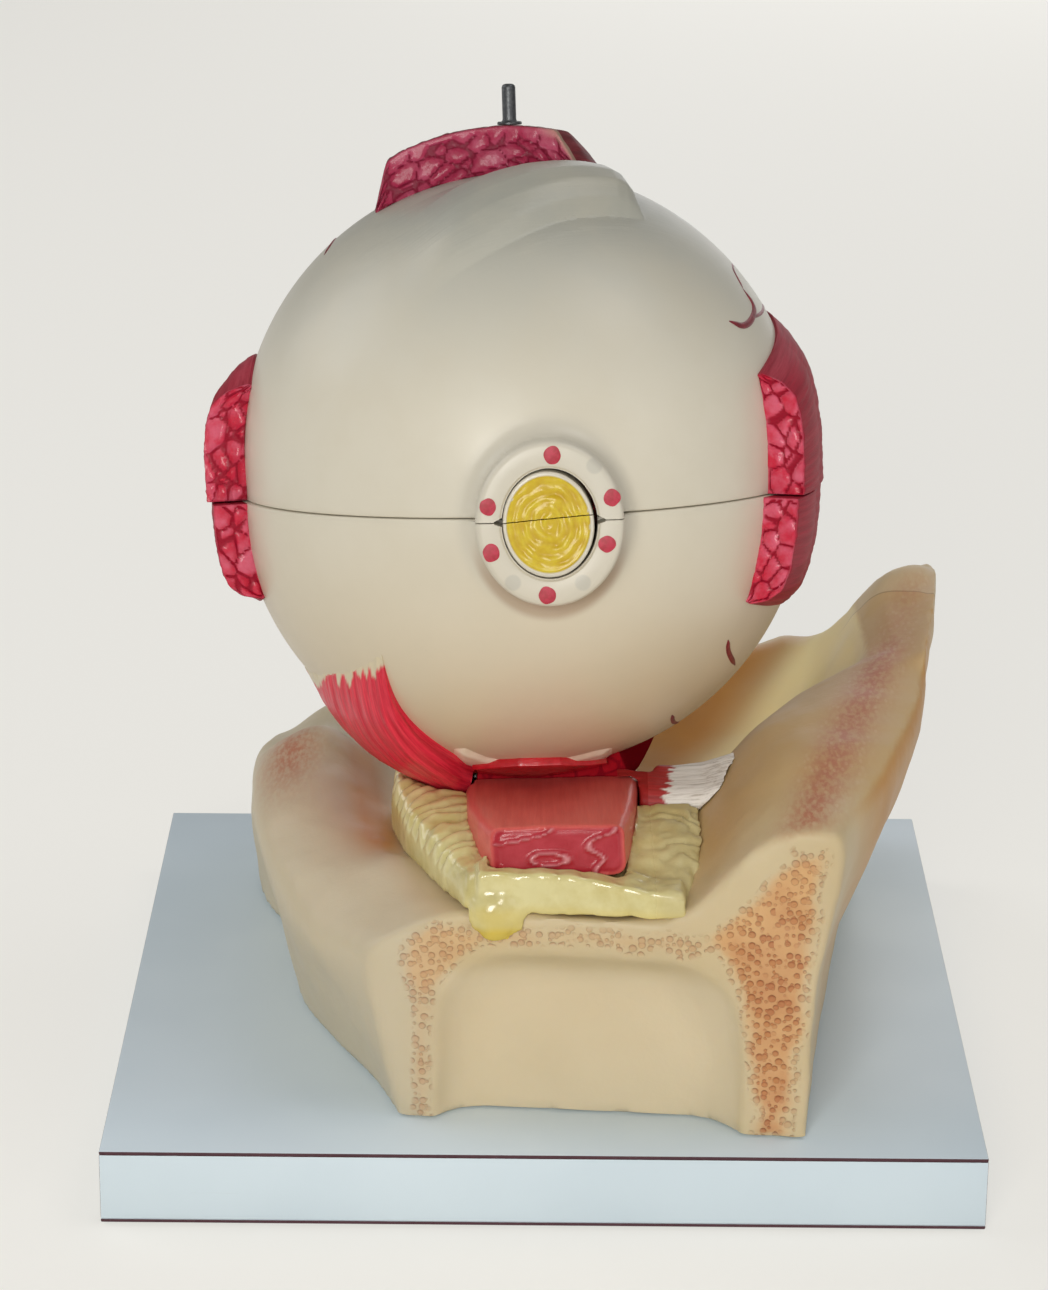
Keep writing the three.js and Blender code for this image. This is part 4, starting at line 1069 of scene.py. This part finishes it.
INFERIOR_RECTUS = dict(
    first=[[-11.1, -12.1, -58.2], [-11.1, 4, -59.3], [-12, 17, -56.8], [-14, 31, -50]],
    second=[[18.7, -12.1, -56], [23, 4, -55.5], [27, 17, -51.2], [29, 31, -43]],
    thickness=[6, 6, 5, 2.6, 0.8],
    across=[[0, 0.7], [0.06, 0.95], [0.35, 1], [0.65, 1], [0.94, 0.95], [1, 0.7]],
    size=(44, 36, 6),
)
INFERIOR_OBLIQUE = dict(
    first=[[-29.5, -44, -29], [-26.2, -35, -42], [-16.6, -23.4, -53.3], [-11.9, -14.5, -57.5]],
    second=[[-47.6, -8.6, -36.4], [-40, 5, -45], [-27, 12, -52.8], [-11.9, 15, -57.4]],
    thickness=[-0.75, 2.5, 5.2, 6.2, 6.5],
    across=[[0, 0.5], [0.08, 0.85], [0.3, 1], [0.5, 1], [0.7, 1], [0.92, 0.8], [1, 0.4]],
    size=(52, 38, 6),
)
COBBLE = 4.3
CROWN_COBBLE = 3.7


def make_side_muscle(name, side, up, seam, edge, thickness, size):
    which, shell = ("upper", UPPER) if up > 0 else ("lower", LOWER)
    first = [[side * x, y, up * SEAM * 1.2] for x, y in seam]
    second = [[side * x, y, z] for x, y, z in edge]
    bm, uvw = strap(shell, first, second, thickness, SIDE_ACROSS, size)
    fleshed(bm, uvw, size, 0, COBBLE, 0.22)
    finish_piece(f"{name}_flesh", bm, EYE, f"{which}_eye", "muscle", [name])


def make_muscles():
    bm, uvw = strap(UPPER, **SUPERIOR_RECTUS)
    fleshed(bm, uvw, SUPERIOR_RECTUS["size"], 0, CROWN_COBBLE, 0.22, band=1.0)
    u, v, w = uvw.T
    mark(bm, "bare", smooth_step(w, 0.75, 0.95) * smooth_step(v, 0.75, 0.9) * (u < 0.05) * 0.35)
    finish_piece("superior_rectus_flesh", bm, EYE, "upper_eye", "crown", ["superior_rectus"])
    bm, uvw = strap(LOWER, **INFERIOR_RECTUS)
    fleshed(bm, uvw, INFERIOR_RECTUS["size"], 0, COBBLE, 0.22, groove_depth=0.15)
    # The inferior rectus gets the darker reds that stand in for the shade under the eyeball
    finish_piece("inferior_rectus_flesh", bm, EYE, "lower_eye", "shaded_muscle", ["inferior_rectus"])
    for muscle in SIDE_MUSCLES:
        make_side_muscle(*muscle)
    bm, uvw = strap(LOWER, **INFERIOR_OBLIQUE)
    fleshed(bm, uvw, INFERIOR_OBLIQUE["size"], 1, COBBLE, 0.3)
    u, v, w = uvw.T
    frayed = 2.6 + 3.4 * grain(uvw, (0, 17, 0)) + 2.5 * np.sin(v * 9.5) * (v > 0.45)
    from_edge = u * INFERIOR_OBLIQUE["size"][0] - np.maximum(frayed, 0.4)
    mark(bm, "bare", 1 - smooth_step(from_edge, -0.3, 0.9))
    finish_piece("inferior_oblique_flesh", bm, EYE, "lower_eye", "oblique", ["inferior_oblique"])


# The rear edges of the rim that the inferior rectus leaves and of the pale ledge under it, as (across, y)
RIM_REAR = [
    (-12.2, -19), (-9, -22.9), (-6.4, -24.8), (-2.2, -26.3), (2, -26.2),
    (6.2, -25.1), (10.2, -21.6), (13, -19.2), (15.8, -15.5),
]
LEDGE_REAR = [
    (-16.4, -26.5), (-13.4, -29), (-9, -25.5), (-4, -24),
    (6, -24), (9.6, -24.2), (13.4, -24.6), (17.6, -22.8),
]
RIM_FRONT = -11.4


def make_rim():
    """The glossy red edge that the inferior rectus leaves on the eyeball, on a pale ledge"""
    for name, slot, finish, edge, proud in (
        ("rectus_ledge", "sclera", "ledge", LEDGE_REAR, 0.8),
        ("rectus_rim", "muscle", "gloss", RIM_REAR, 1.8),
    ):
        bm = block(28, 72, 4)
        u, v, w = places(bm).T
        across, back = np.array(edge).T
        width = across[-1] - across[0]
        x = across[0] + width * v
        rear = np.interp(x, across, back)
        y = rear + (RIM_FRONT - rear) * u
        line = np.stack([x, y, -np.sqrt(LOWER[0] ** 2 - x**2 - y**2)], 1)
        rise = proud + 0.12 * np.array([noise_at(a * 0.5, b * 0.5, 1.0) for a, b in zip(x, y)])
        if finish == "ledge":
            rise = rise * smooth_step(np.minimum(u * 16, np.minimum(v, 1 - v) * width), 0, 3) - 0.06
        sunk = -0.4
        move_to(bm, on_shell(LOWER, line, sunk + (rise - sunk) * w))
        outward(bm)
        softened(bm, 2)
        finish_piece(name, bm, EYE, "lower_eye", finish)


# Orbit and what lies on its floor

# Outlines of the orbit as (y, [across, up] from its left foot over the floor and the wall to its right foot)
STATIONS = [
    (-78, [[-29.5, 16], [-34.2, 36], [-36, 51.5], [-33.2, 55.3], [-19.2, 62.3], [-12, 63], [24, 63.4],
           [29.5, 66.4], [44.5, 81.3], [57.8, 83], [54.6, 48], [53.3, 16]]),
    (-60, [[-35, 16], [-42, 34], [-47, 48], [-42, 54], [-28, 60.5], [-20, 61], [22, 61.5],
           [30, 66.5], [47, 83.5], [63.2, 84.4], [57.6, 48], [55.4, 16]]),
    (-40, [[-43.5, 16], [-50.5, 34], [-55, 51], [-48, 58], [-36, 61], [-28, 59.5], [18, 58.5],
           [30, 67], [49, 85], [70, 86.2], [61.5, 48], [58, 16]]),
    (-18, [[-52.5, 16], [-57.5, 38], [-61, 56.5], [-50, 63], [-39, 60], [-28, 56.5], [16, 55.5],
           [32, 66], [47, 82], [76.6, 88.2], [65.6, 48], [61, 16]]),
    (2, [[-54.5, 16], [-60, 38], [-63.6, 58.5], [-50, 65.5], [-40, 60.5], [-30, 55], [14, 54],
         [34, 60], [55.5, 81.5], [81.6, 90.2], [69.5, 48], [63.5, 16]]),
    (20, [[-58, 16], [-62, 38], [-64.4, 57], [-50, 67], [-40, 61], [-30, 55], [14, 54],
          [42, 58], [68.5, 82], [84.8, 91.8], [73, 48], [66.4, 16]]),
    (36, [[-64, 16], [-66.4, 38], [-65.4, 52], [-52, 62], [-42, 59], [-30, 56], [14, 56],
          [52, 60], [73, 88], [86.8, 93.4], [76.4, 48], [69, 16]]),
    (50, [[-66, 16], [-68, 36], [-65, 50], [-52, 60], [-42, 60], [-28, 60], [16, 60],
          [56, 64], [78, 93.6], [87.6, 94], [78.6, 48], [71, 16]]),
    (64, [[-63, 16], [-65, 34], [-61, 48], [-48, 60], [-38, 62.5], [-26, 63.4], [16, 64],
          [54, 67], [69, 76], [84, 78], [79.6, 46], [72, 16]]),
    (78, [[-48, 16], [-51, 32], [-48, 44], [-40, 53], [-32, 56], [-22, 57.5], [16, 59],
          [48, 62], [60, 66], [74, 66], [74, 42], [68, 16]]),
]
REAR_FACE = STATIONS[0][0]

# Spongy bands on the rear face: (how open they are, [height, left side, right side] upwards)
SPONGY_BANDS = [
    (1, [(16, 42.6, 50.3), (33, 41.1, 51.8), (46, 39.4, 53.6), (54, 36, 54), (60, 31, 54),
         (66, 39, 54.4), (72, 43.5, 55), (79, 49, 55.2)]),
    (0.6, [(56.8, -20, 38), (58, -16, 38), (59.4, -12, 34)]),
    (0.8, [(44, -28.5, -23), (50, -29.5, -19), (56, -29, -12), (59.5, -24, -11)]),
    (0.62, [(16, -27, -23.5), (45, -28.5, -23)]),
]

# Sinus hollow: how far in from its mouth's outline, and how deep from the rear face
HOLLOW_STEPS = [(-2, -8), (-0.4, 0), (0.6, 1.2), (2.2, 3.15), (4, 4.7), (6, 5.95), (8.5, 6.7), (11, 7)]


def leaning(x, y):
    """Sets the rear face out of square, and what lies in front of it less and less"""
    share = np.clip((y + 40) / (REAR_FACE + 40), 0, 1)
    return y + share * (x - 11.25) * -0.106


def orbit_rings():
    """Sections of the orbit, from the rear face forwards"""
    shares = np.linspace(0, 1, 73)
    corners = len(STATIONS[0][1])
    along = [flow([[row[k][0], y, row[k][1]] for y, row in STATIONS], shares) for k in range(corners)]
    outline = np.linspace(0, 1, 8 * (corners - 1) + 1)
    foot = np.linspace(0, 1, 14)[1:-1, None]
    rings = []
    for i in range(len(shares)):
        points = flow([line[i] for line in along], outline)
        points = np.vstack([points, points[-1] + (points[0] - points[-1]) * foot])
        points[:, 1] = leaning(points[:, 0], points[:, 1])
        points[:, 2] = np.maximum(points[:, 2], BOARD_TOP)
        rings.append(points)
    return rings


def sinus_hollow():
    """The shallow recess in the rear face, rounded at its foot"""
    rings = []
    for inset, deep in HOLLOW_STEPS:
        y = np.array(REAR_FACE + deep)
        outline = rounded(-22 + inset, 40 - inset, -14, 54 - inset, 16, 14)
        rings.append([(x, leaning(np.array(x), y), z) for x, z in outline])
    return swept(rings)


def inside_band(x, z, rows):
    """How far inside a band whose sides change with height a point lies"""
    heights, lefts, rights = np.array(rows).T
    inside = np.minimum(x - np.interp(z, heights, lefts), np.interp(z, heights, rights) - x)
    return np.minimum(inside, np.minimum(z - heights[0] + 1, heights[-1] + 1 - z))


def spongy_mask(p, normals):
    x, y, z = p.T
    rear = smooth_step(-normals[:, 1], 0.55, 0.85) * (y < -66)
    wobble = grain(p, (0.16, 0.16, 0.16), 2) * 1.6
    bands = []
    for open_by, rows in SPONGY_BANDS:
        bands.append(smooth_step(inside_band(x, z, rows) + wobble, -1.4, 3.0) * open_by)
    return rear * np.maximum.reduce(bands)


def hollow_end(y):
    """Where the hollow of the medial wall ends against the tower"""
    return 69.8 - 6 * (1 - np.clip(y / 10, 0, 1)) ** 2


def worn_walls(points, normals):
    """Fills the hollow beside the tower, raises the far wall, lowers the left wing, bulges the outer side"""
    x, y, z = points.T.copy()
    top = smooth_step(normals[:, 2], -0.1, 0.3)
    end = hollow_end(y)
    band = 88.3 + 0.35 * (x - 70) - 0.14 * np.maximum(y - 5, 0) * np.clip((76 - x) / 8, 0, 1)
    fill = smooth_step(x, end - 1, end + 0.8) * smooth_step(y, -7, 1) * smooth_step(58 - y, 0, 5)
    far = smooth_step(y, 38, 52) * smooth_step(63 - x, 0, 8) * smooth_step(x, 12, 34) * smooth_step(z, 46, 60)
    left = smooth_step(y, 15, 40) * smooth_step(x, -66, -57)
    left *= smooth_step(-x, 25, 42) * smooth_step(z, 42, 54)
    bump = hill(x, -31, 6) * hill(y, -47, 7)
    bulge = smooth_step(z, 36, 74) * smooth_step(-y, -8, 24) * smooth_step(y, -78, -52)
    points[:, 2] += np.maximum(band - z, 0) * fill * top * (z > 66) + 3 * far - 3.8 * left + 1.6 * bump * top
    points[:, 0] += 3.2 * bulge * smooth_step(normals[:, 0], 0, 0.5) * (x > 50)
    return points


def bone_marks(points, normals):
    """What the bone's finish reads, all from 0 to 1"""
    x, y, z = points.T
    across, _, up = normals.T
    middle = 51 + (y + 81) / 126 * 33
    strip = hill(x, middle, 5.2) * smooth_step(up, 0.2, 0.6) * smooth_step(z, 76, 80)
    strip *= smooth_step(y, -84, -76) * smooth_step(y, 52, 36) * (1 - 0.55 * smooth_step(y, 4, 18))
    patch = hill(x, -56, 6.2) * hill(y, 8, 17) * smooth_step(up, 0.1, 0.5)

    border = 47 + (y - 47) * 0.65
    under = smooth_step(border - x, -5, 9) * smooth_step(x, -8, 32) * smooth_step(up, 0.0, 0.5)
    under *= smooth_step(y, 2, 24) * smooth_step(77 - y, 0, 15)
    hollow = hill(x + 39.5 - (4 - y) * 0.12, 0, 4.8) * smooth_step(up, 0.0, 0.4)
    hollow *= smooth_step(y, -48, -28) * smooth_step(y, 34, 12)
    side = smooth_step(across, 0.5, 0.85) * smooth_step(x, 48, 54)
    side *= smooth_step(y, -80, -52) * smooth_step(40 - y, 0, 50)
    side *= 0.24 + 0.42 * smooth_step(z, 34, 74)
    shade = np.maximum(np.clip(under * 0.8 + 1.1 * hollow, 0, 0.9), side)

    # Pale cream in the hollow beside the tower, brightened as painted light
    hollow_cream_and_light = smooth_step(y, 4, 16) * smooth_step(x, border - 2, border + 8) * smooth_step(91 - z, 0, 3)
    hollow_cream_and_light *= smooth_step(hollow_end(y) + 1.4 - x, 0, 1) * smooth_step(np.maximum(up, -across), 0, 0.3)
    grey = smooth_step(-x, 14, 32)
    return {
        "spongy": spongy_mask(points, normals),
        "blush": np.clip((strip + patch) * 0.95, 0, 1),
        "shade": shade,
        "hollow_cream_and_light": hollow_cream_and_light,
        # inner: painted warm bounce light on upward-facing bone near the rear face
        "inner": smooth_step(y, -77, -52) * smooth_step(up, -0.1, 0.4) * (1 - grey),
        "grey": grey,
    }


def make_orbit():
    bm = remeshed(carved(swept(orbit_rings()), [sinus_hollow()]), 1.3)
    softened(bm, 3, lambda p: p.z > BOARD_TOP + 1.5)
    points, normals = surface(bm)
    drift = grain(points, (0.05, 0.05, 0.05)) * 0.5 * (points[:, 2] > BOARD_TOP + 2)
    move_to(bm, worn_walls(points + normals * drift[:, None], normals))
    softened(bm, 1, lambda p: p.x > 40 and p.y > -12 and p.z > 60)
    for name, values in bone_marks(*surface(bm)).items():
        mark(bm, name, values)
    finish_piece("orbit_bone_casting", bm, BOARD, "base", "bone", ["orbit_bone"], 50)


def make_fat():
    """The fat pad, with its wrinkles and the thick drop over the cut face"""
    bm = remeshed(copied("orbital_fat", BOARD), 0.65)
    softened(bm, 5)
    points, normals = surface(bm)
    x, y, z = points.T
    points[:, 2] = np.minimum(z, 72 - 9 * smooth_step(y, -21, -11) * smooth_step(x, 8, 17))
    corner = smooth_step(x, 2, 26) * smooth_step(-y, 48, 72)
    points[:, 2] -= 3.2 * corner * smooth_step(z, 62, 69)

    up = smooth_step(normals[:, 2], 0.1, 0.6)
    right = smooth_step(x, 21, 25)
    rear = smooth_step(-y, 60, 66) * (1 - right * 0.4)
    left, right_only = smooth_step(-x, 8, 15) * (1 - rear), right * (1 - rear)
    warp = grain(points, (0.09, 0.09, 0.09)) * 3.4
    lean = (x * 0.35 - y * 0.94 + warp - (x + 21) ** 2 * 0.03) / 4.6
    wings = np.abs(np.sin(lean * math.pi)) ** 0.8
    rows = np.abs(np.sin(((x * 0.98 + z * 0.25 + warp * 0.8) / 6.4) * math.pi)) ** 0.5
    creases = np.abs(np.sin(((y * 0.93 + x * 0.22 + warp * 2.4) / 5.6) * math.pi)) ** 0.6
    height = left * wings * 0.9 + rear * rows * 0.4 + right_only * creases
    upright = smooth_step(np.abs(normals[:, 2]) + np.abs(normals[:, 1]), 0.5, 0.9)
    height += 0.35 * grain(points, (0.22, 0.22, 0.22), 2) * upright
    share = np.clip(left + rear + right_only, 0, 1)
    # Painted shade in the valleys of the wrinkles
    fold = share * (1 - np.clip(height / 0.75, 0, 1))

    # The side towards the rectus block comes up close to it
    from_x, from_y = x + 1.5, y + 45
    toward = -(normals[:, 0] * from_x + normals[:, 1] * from_y) / (np.hypot(from_x, from_y) + 1)
    snug = smooth_step(np.clip(toward, 0, 1), 0.3, 0.7) * smooth_step(24 - np.abs(from_x), 0, 3)
    snug *= (y > -70) * (z > 64)
    lift = (height - 0.45 * share) * np.maximum(up, rear * 0.8) * 1.1 + snug * 0.8
    move_to(bm, points + normals * lift[:, None])

    drop = smooth_step(-np.hypot((x + 9.6) / 6.6, (z - 61) / 6.2), -1.1, -0.8)
    drop *= smooth_step(z, 63, 58) * (y < -74)
    rim = np.clip(hill(x, -9.6, 7.2) * smooth_step(z, 62.5, 58.5) * (y < -73) + drop * 0.3, 0, 1)
    rim = np.maximum(rim, 0.35 * rear * smooth_step(z, 66, 63.4) * (y < -74))
    mark(bm, "fold", fold * up)
    mark(bm, "rim", rim)
    mark(bm, "dull", right * (1 - rear * 0.5) * 0.8)
    finish_piece("orbital_fat_pad", bm, BOARD, "base", "fat", ["orbital_fat"], 60)


def make_rectus_block():
    """The rectus stump on the orbit floor, with painted highlights on the crests of its cut face"""
    node = "inferior_rectus_stub"
    bm = remeshed(copied(node, EYE), 0.5)
    softened(bm, 4)
    points, normals = surface(bm)
    face = smooth_step(-normals[:, 1], 0.5, 0.8) * smooth_step(-points[:, 1], 56.5, 58)
    height = np.ones(len(points))
    chosen = np.where(face > 0.01)[0]
    spots = points[chosen]
    spots[:, 1] = 0
    height[chosen] = smooth_step(np.abs(grain(spots, (0.07, 1, 0.2), 1)), 0.09, 0.0)
    lift = (height - 0.7) * face * 0.8 + grain(points, (0.12, 0.04, 0.12)) * 0.25 * (1 - face)
    move_to(bm, points + normals * lift[:, None])
    mark_fibre(bm, points[:, [1, 0, 2]])
    # Painted highlight on the crests of the cut face
    mark(bm, "crest_highlight", smooth_step(height, 0.35, 1) * 0.55 * face)
    mark(bm, "cut", face)
    finish_piece("inferior_rectus_block", bm, EYE, "base", "block", [node], 60)


def make_oblique_stub():
    """The oblique and its tendon on the orbit floor: one form, cut in two where its nodes meet"""
    joint = 21.5
    tendon = copied("inferior_oblique_tendon", BOARD)
    whole = remeshed(carved(copied("inferior_oblique_stub", BOARD), [tendon], "UNION"), 0.5)
    softened(whole, 4)
    for node, finish, slot, side in (
        ("inferior_oblique_stub", "stub", "pale_muscle", 1),
        ("inferior_oblique_tendon", "tendon", "tendon", -1),
    ):
        bm = whole.copy()
        edges = cut_back(bm, (joint, 0, 0), (side, 0, 0))
        bmesh.ops.holes_fill(bm, edges=edges, sides=0)
        points, normals = surface(bm)
        lines = grain(points, (0.06, 0.9, 0.4)) * 0.12 * smooth_step(np.abs(points[:, 0] - joint), 0, 1.5)
        move_to(bm, points + normals * lines[:, None])
        mark_fibre(bm, points)
        reach = 27.7 + (points[:, 1] + 19) * 0.174
        reach += 1.8 * np.array([noise_at(0.0, y * 1.1, z * 0.5) for _, y, z in points])
        mark(bm, "red", smooth_step(points[:, 0], reach + 0.3, reach - 0.3))
        finish_piece(node + "_brushed", bm, BOARD, "base", finish, [node], 60)
    whole.free()


# Inside the eyeball

def halved(bm, sign):
    """What lies on one side of the seam, closed where it was cut"""
    edges = cut_back(bm, (0, 0, sign * SEAM), (0, 0, -sign))
    bmesh.ops.holes_fill(bm, edges=edges, sides=0)
    bmesh.ops.triangulate(bm, faces=[f for f in bm.faces if len(f.verts) > 4])
    return outward(bm)


def nerve_disc(sign):
    """The cut nerve in its sheath: rings of fibres inside a white rim"""
    cut, fibres = CORE_END - 0.35, 8
    profile = [[0, CORE_START], [9.1, CORE_START], [9.1, CORE_END - 0.6], [9, CORE_END - 0.15]]
    profile += [[8.8, CORE_END], [8.4, CORE_END], [8.15, CORE_END - 0.25]]
    profile += [[r, cut] for r in np.arange(7.9, 0.2, -0.2)] + [[0, cut]]
    bm = turned([[r, -h] for r, h in profile], "Y", 120)
    grooves, rim = [], []
    for v in bm.verts:
        x, y, z = v.co
        r = math.hypot(x, z)
        groove = 0.0
        rim.append(1.0 if r > 8.25 + 0.25 * noise_at(x * 0.5, y * 0.5, z * 0.5 * CORE[1] / CORE[0]) else 0.0)
        if y < 0.5 - CORE_END and r < fibres:
            swirl = r + 0.7 * noise_at(x * 0.25, z * 0.25, 2.0) + 0.2 * noise_at(x * 0.7, y * 0.7, z * 0.7)
            groove = 0.5 + 0.5 * math.cos(swirl * math.tau / 1.75)
            groove *= 0.55 + 0.6 * noise_at(x * 0.5, z * 0.5, 7.0)
            swell = 0.35 * noise_at(x * 0.35, z * 0.35, 4.0) * min(1, (fibres - r) / 1.5)
            y += 0.34 * groove * min(1, (fibres - r) / 0.6) - swell
        grooves.append(groove)
        v.co = Vector((x, y, z * CORE[1] / CORE[0]))
    mark(bm, "groove", grooves)
    mark(bm, "rim", rim)
    turn = math.radians(-INNER_ROLL)
    x = NERVE[0] * math.cos(turn) + NERVE[1] * math.sin(turn) - 0.28
    z = NERVE[1] * math.cos(turn) - NERVE[0] * math.sin(turn) - 0.2
    bmesh.ops.translate(bm, vec=(x, 0, z), verts=bm.verts)
    return halved(bm, sign)


def turn_at_place(radius, place):
    """The angle from the axis at which an arc reaches a place along it"""
    return math.degrees(math.acos(place / radius))


def turn_at_reach(radius, reach):
    """The angle from the axis at which an arc reaches a distance across"""
    return math.degrees(math.asin(reach / radius))


def choroid_half(sign):
    skin = arc(0, CHOROID_OUTER, 180, turn_at_place(CHOROID_OUTER, IRIS_PLANE), 60)
    lining = arc(0, CHOROID_INNER, turn_at_place(CHOROID_INNER, IRIS_PLANE), 180, 60)
    return halved(turned(skin + lining, "Y", 144), sign)


def iris_half(sign):
    edge = math.sqrt(CAVITY**2 - IRIS_FRONT**2) - 0.7
    back, front = IRIS_BACK, IRIS_FRONT
    profile = [
        [PUPIL, back + 0.5], [PUPIL + 0.5, back], [edge - 0.4, back], [edge, back + 0.5],
        [edge - 0.4, front - 0.8],
    ]
    for r in np.arange(edge - 1, PUPIL + 1.2, -0.5):
        profile.append([r, front - 0.25 + 0.3 * math.sin(r * 1.3) * (1 - r / 40)])
    profile += [[PUPIL + 0.6, front - 0.4], [PUPIL, front - 1]]
    return halved(turned(profile, "Y", 180), sign)


def make_vitreous():
    outer, inside = VITREOUS, VITREOUS - VITREOUS_WALL
    joint = VITREOUS_JOINT
    shell = arc(0, outer, 180, turn_at_place(outer, joint), 64)
    shell += arc(0, inside, turn_at_place(inside, joint), 180, 60)
    recess, curve = LENS_RADIUS + LENS_PLAY, LENS_BACK_CURVE + LENS_PLAY
    wide, wide_curve = recess + VITREOUS_WALL, curve + VITREOUS_WALL
    middle = LENS_BACK + LENS_BACK_CURVE
    joint += 0.3
    floor = DISH_LIP - VITREOUS_WALL
    dish = arc(middle, curve, 180, 180 - turn_at_reach(curve, recess), 24) + [[recess, DISH_LIP]]
    dish += arc(0, outer, turn_at_place(outer, DISH_LIP), turn_at_place(outer, joint), 10)
    dish += arc(0, inside, turn_at_place(inside, joint), turn_at_place(inside, floor), 10) + [[wide, floor]]
    dish += arc(middle, wide_curve, 180 - turn_at_reach(wide_curve, wide), 180, 24)
    front_turn = turn_at_reach(LENS_FRONT_CURVE, LENS_RADIUS)
    lens = arc(LENS_FRONT - LENS_FRONT_CURVE, LENS_FRONT_CURVE, 0, front_turn, 24)
    lens += [[LENS_RADIUS + 0.2, 37.1], [LENS_RADIUS + 0.25, 36.3], [LENS_RADIUS + 0.2, 35.5]]
    lens += arc(middle, LENS_BACK_CURVE, 180 - turn_at_reach(LENS_BACK_CURVE, LENS_RADIUS), 180, 24)
    for name, profile, finish, node in (
        ("vitreous_shell_clear", shell, "clear", "vitreous_shell"),
        ("vitreous_dish_clear", dish, "clear", "vitreous_dish"),
        ("lens_clear", lens, "lens", "lens"),
    ):
        finish_piece(name, turned(profile, "Y", 120), INNER, "vitreous", finish, [node])


def make_cornea():
    middle = math.sqrt(LOWER[0] ** 2 - CORNEA_EDGE**2) - math.sqrt(CORNEA_CURVE**2 - CORNEA_EDGE**2)
    inside, inner_edge = CORNEA_CURVE - CORNEA_WALL, CORNEA_EDGE - CORNEA_WALL
    foot = CORNEA_SEAT + 0.3
    profile = arc(middle, CORNEA_CURVE, 0, turn_at_reach(CORNEA_CURVE, CORNEA_EDGE), 40)
    profile += [[CORNEA_EDGE, foot], [CORNEA_EDGE - 0.3, CORNEA_SEAT]]
    profile += [[inner_edge + 0.3, CORNEA_SEAT], [inner_edge, foot]]
    profile += arc(middle, inside, turn_at_reach(inside, inner_edge), 0, 40)
    bm = turned(profile, "Y", 144)
    finish_piece("cornea_dome", bm, EYE, "cornea", "cornea", ["cornea"])


def make_inside():
    for which, sign in (("upper", 1), ("lower", -1)):
        for name, bm, slot, finish, node in (
            (f"choroid_and_retina_{which}", choroid_half(sign), "choroid", "coat", f"choroid_{which}"),
            (f"iris_{which}_disc", iris_half(sign), "iris", "iris", f"iris_{which}"),
            (f"nerve_core_{which}_disc", nerve_disc(sign), "nerve", "core", f"nerve_core_{which}"),
        ):
            finish_piece(name, bm, INNER, f"{which}_coats", finish, [node])
    make_vitreous()
    make_cornea()


# Stage

# Lamps: name, place in metres, size, power, tint
LAMPS = [
    ("key", (-0.25, -1.3, 0.56), 0.45, 8.9, (1.0, 0.98, 0.93)),
    ("fill", (0.85, -1.05, 0.4), 0.8, 2.4, (1.0, 0.97, 0.93)),
    ("top", (0.6, -0.1, 1.2), 0.6, 2.6, (0.98, 0.98, 1.0)),
    ("left", (-1.1, 0.35, 0.8), 0.8, 4.4, (0.98, 0.99, 1.0)),
    ("back", (0.3, 1.4, 0.4), 0.8, 2.2, (1.0, 1.0, 1.0)),
]
AIMED_AT = Vector((0, 0, 0.1))


def make_floor():
    """A floor that looks evenly pale to the camera and throws a quiet light on the model"""
    bm = bmesh.new()
    bmesh.ops.create_grid(bm, x_segments=1, y_segments=1, size=60)
    bmesh.ops.translate(bm, vec=(0, 0, -0.0004), verts=bm.verts)
    floor = object_of(bm, "floor")
    finish = Finish("floor_paint", BOARD, Roughness=0.8, Emission_Strength=1.0)
    seen = finish.node("LightPath", out="Is Camera Ray")
    for kind in ("Is Glossy Ray", "Is Transmission Ray"):
        seen = seen.above(finish.node("LightPath", out=kind))
    lit = finish.mix(finish.noise(0.004), "#e6e2da", "#e9e6df")
    finish.put(
        Base_Color=finish.mix(seen, lit, (0.36, 0.355, 0.33, 1)),
        Emission_Color=finish.mix(seen, (0, 0, 0, 1), (0.54, 0.53, 0.505, 1)),
    )
    floor.data.materials.append(finish.material)


def make_light():
    world = bpy.data.worlds.new("soft_studio")
    bpy.context.scene.world = world
    world.use_nodes = True
    colour, strength = world.node_tree.nodes["Background"].inputs[:2]
    colour.default_value = (0.98, 0.97, 0.94, 1)
    strength.default_value = 0.27
    for name, place, size, power, tint in LAMPS:
        lamp = bpy.data.lights.new(name, "AREA")
        lamp.size = size
        lamp.energy = power
        lamp.color = tint
        obj = bpy.data.objects.new(name, lamp)
        obj.location = place
        obj.rotation_euler = (AIMED_AT - Vector(place)).to_track_quat("-Z", "Y").to_euler()
        bpy.context.scene.collection.objects.link(obj)


# The photo's camera, worked out from the corners of the board
CAMERA_PLACE = (-0.0047, -0.82727, 0.39434)
YAW, PITCH, ROLL = 0.0124, 20.0153, 0.4770
FOCAL_LENGTH, PHOTO_HEIGHT = 4067.6, 1290  # pixels
SENSOR = 36


def make_camera():
    yaw, pitch, roll = (math.radians(angle) for angle in (YAW, PITCH, ROLL))
    forward = Vector((-math.sin(yaw) * math.cos(pitch), math.cos(yaw) * math.cos(pitch), -math.sin(pitch)))
    level = Vector((math.cos(yaw), math.sin(yaw), 0))
    upright = level.cross(forward)
    right = level * math.cos(roll) + upright * math.sin(roll)
    up = upright * math.cos(roll) - level * math.sin(roll)
    camera = bpy.data.cameras.new("photo_view")
    camera.sensor_width = SENSOR
    camera.lens = FOCAL_LENGTH / PHOTO_HEIGHT * SENSOR
    camera.clip_start = 0.01
    obj = bpy.data.objects.new("photo_view", camera)
    turn = Matrix((right, up, -forward)).transposed().to_4x4()
    obj.matrix_world = Matrix.Translation(CAMERA_PLACE) @ turn
    bpy.context.scene.collection.objects.link(obj)
    bpy.context.scene.camera = obj


make_camera()
make_floor()
make_light()
make_board()
make_orbit()
make_fat()
make_rectus_block()
make_oblique_stub()
eyeball_half(False)
eyeball_half(True)
make_muscles()
make_rim()
make_pins()
make_paint()
make_inside()

bpy.context.scene.view_settings.view_transform = "Standard"
bpy.context.view_layer.update()
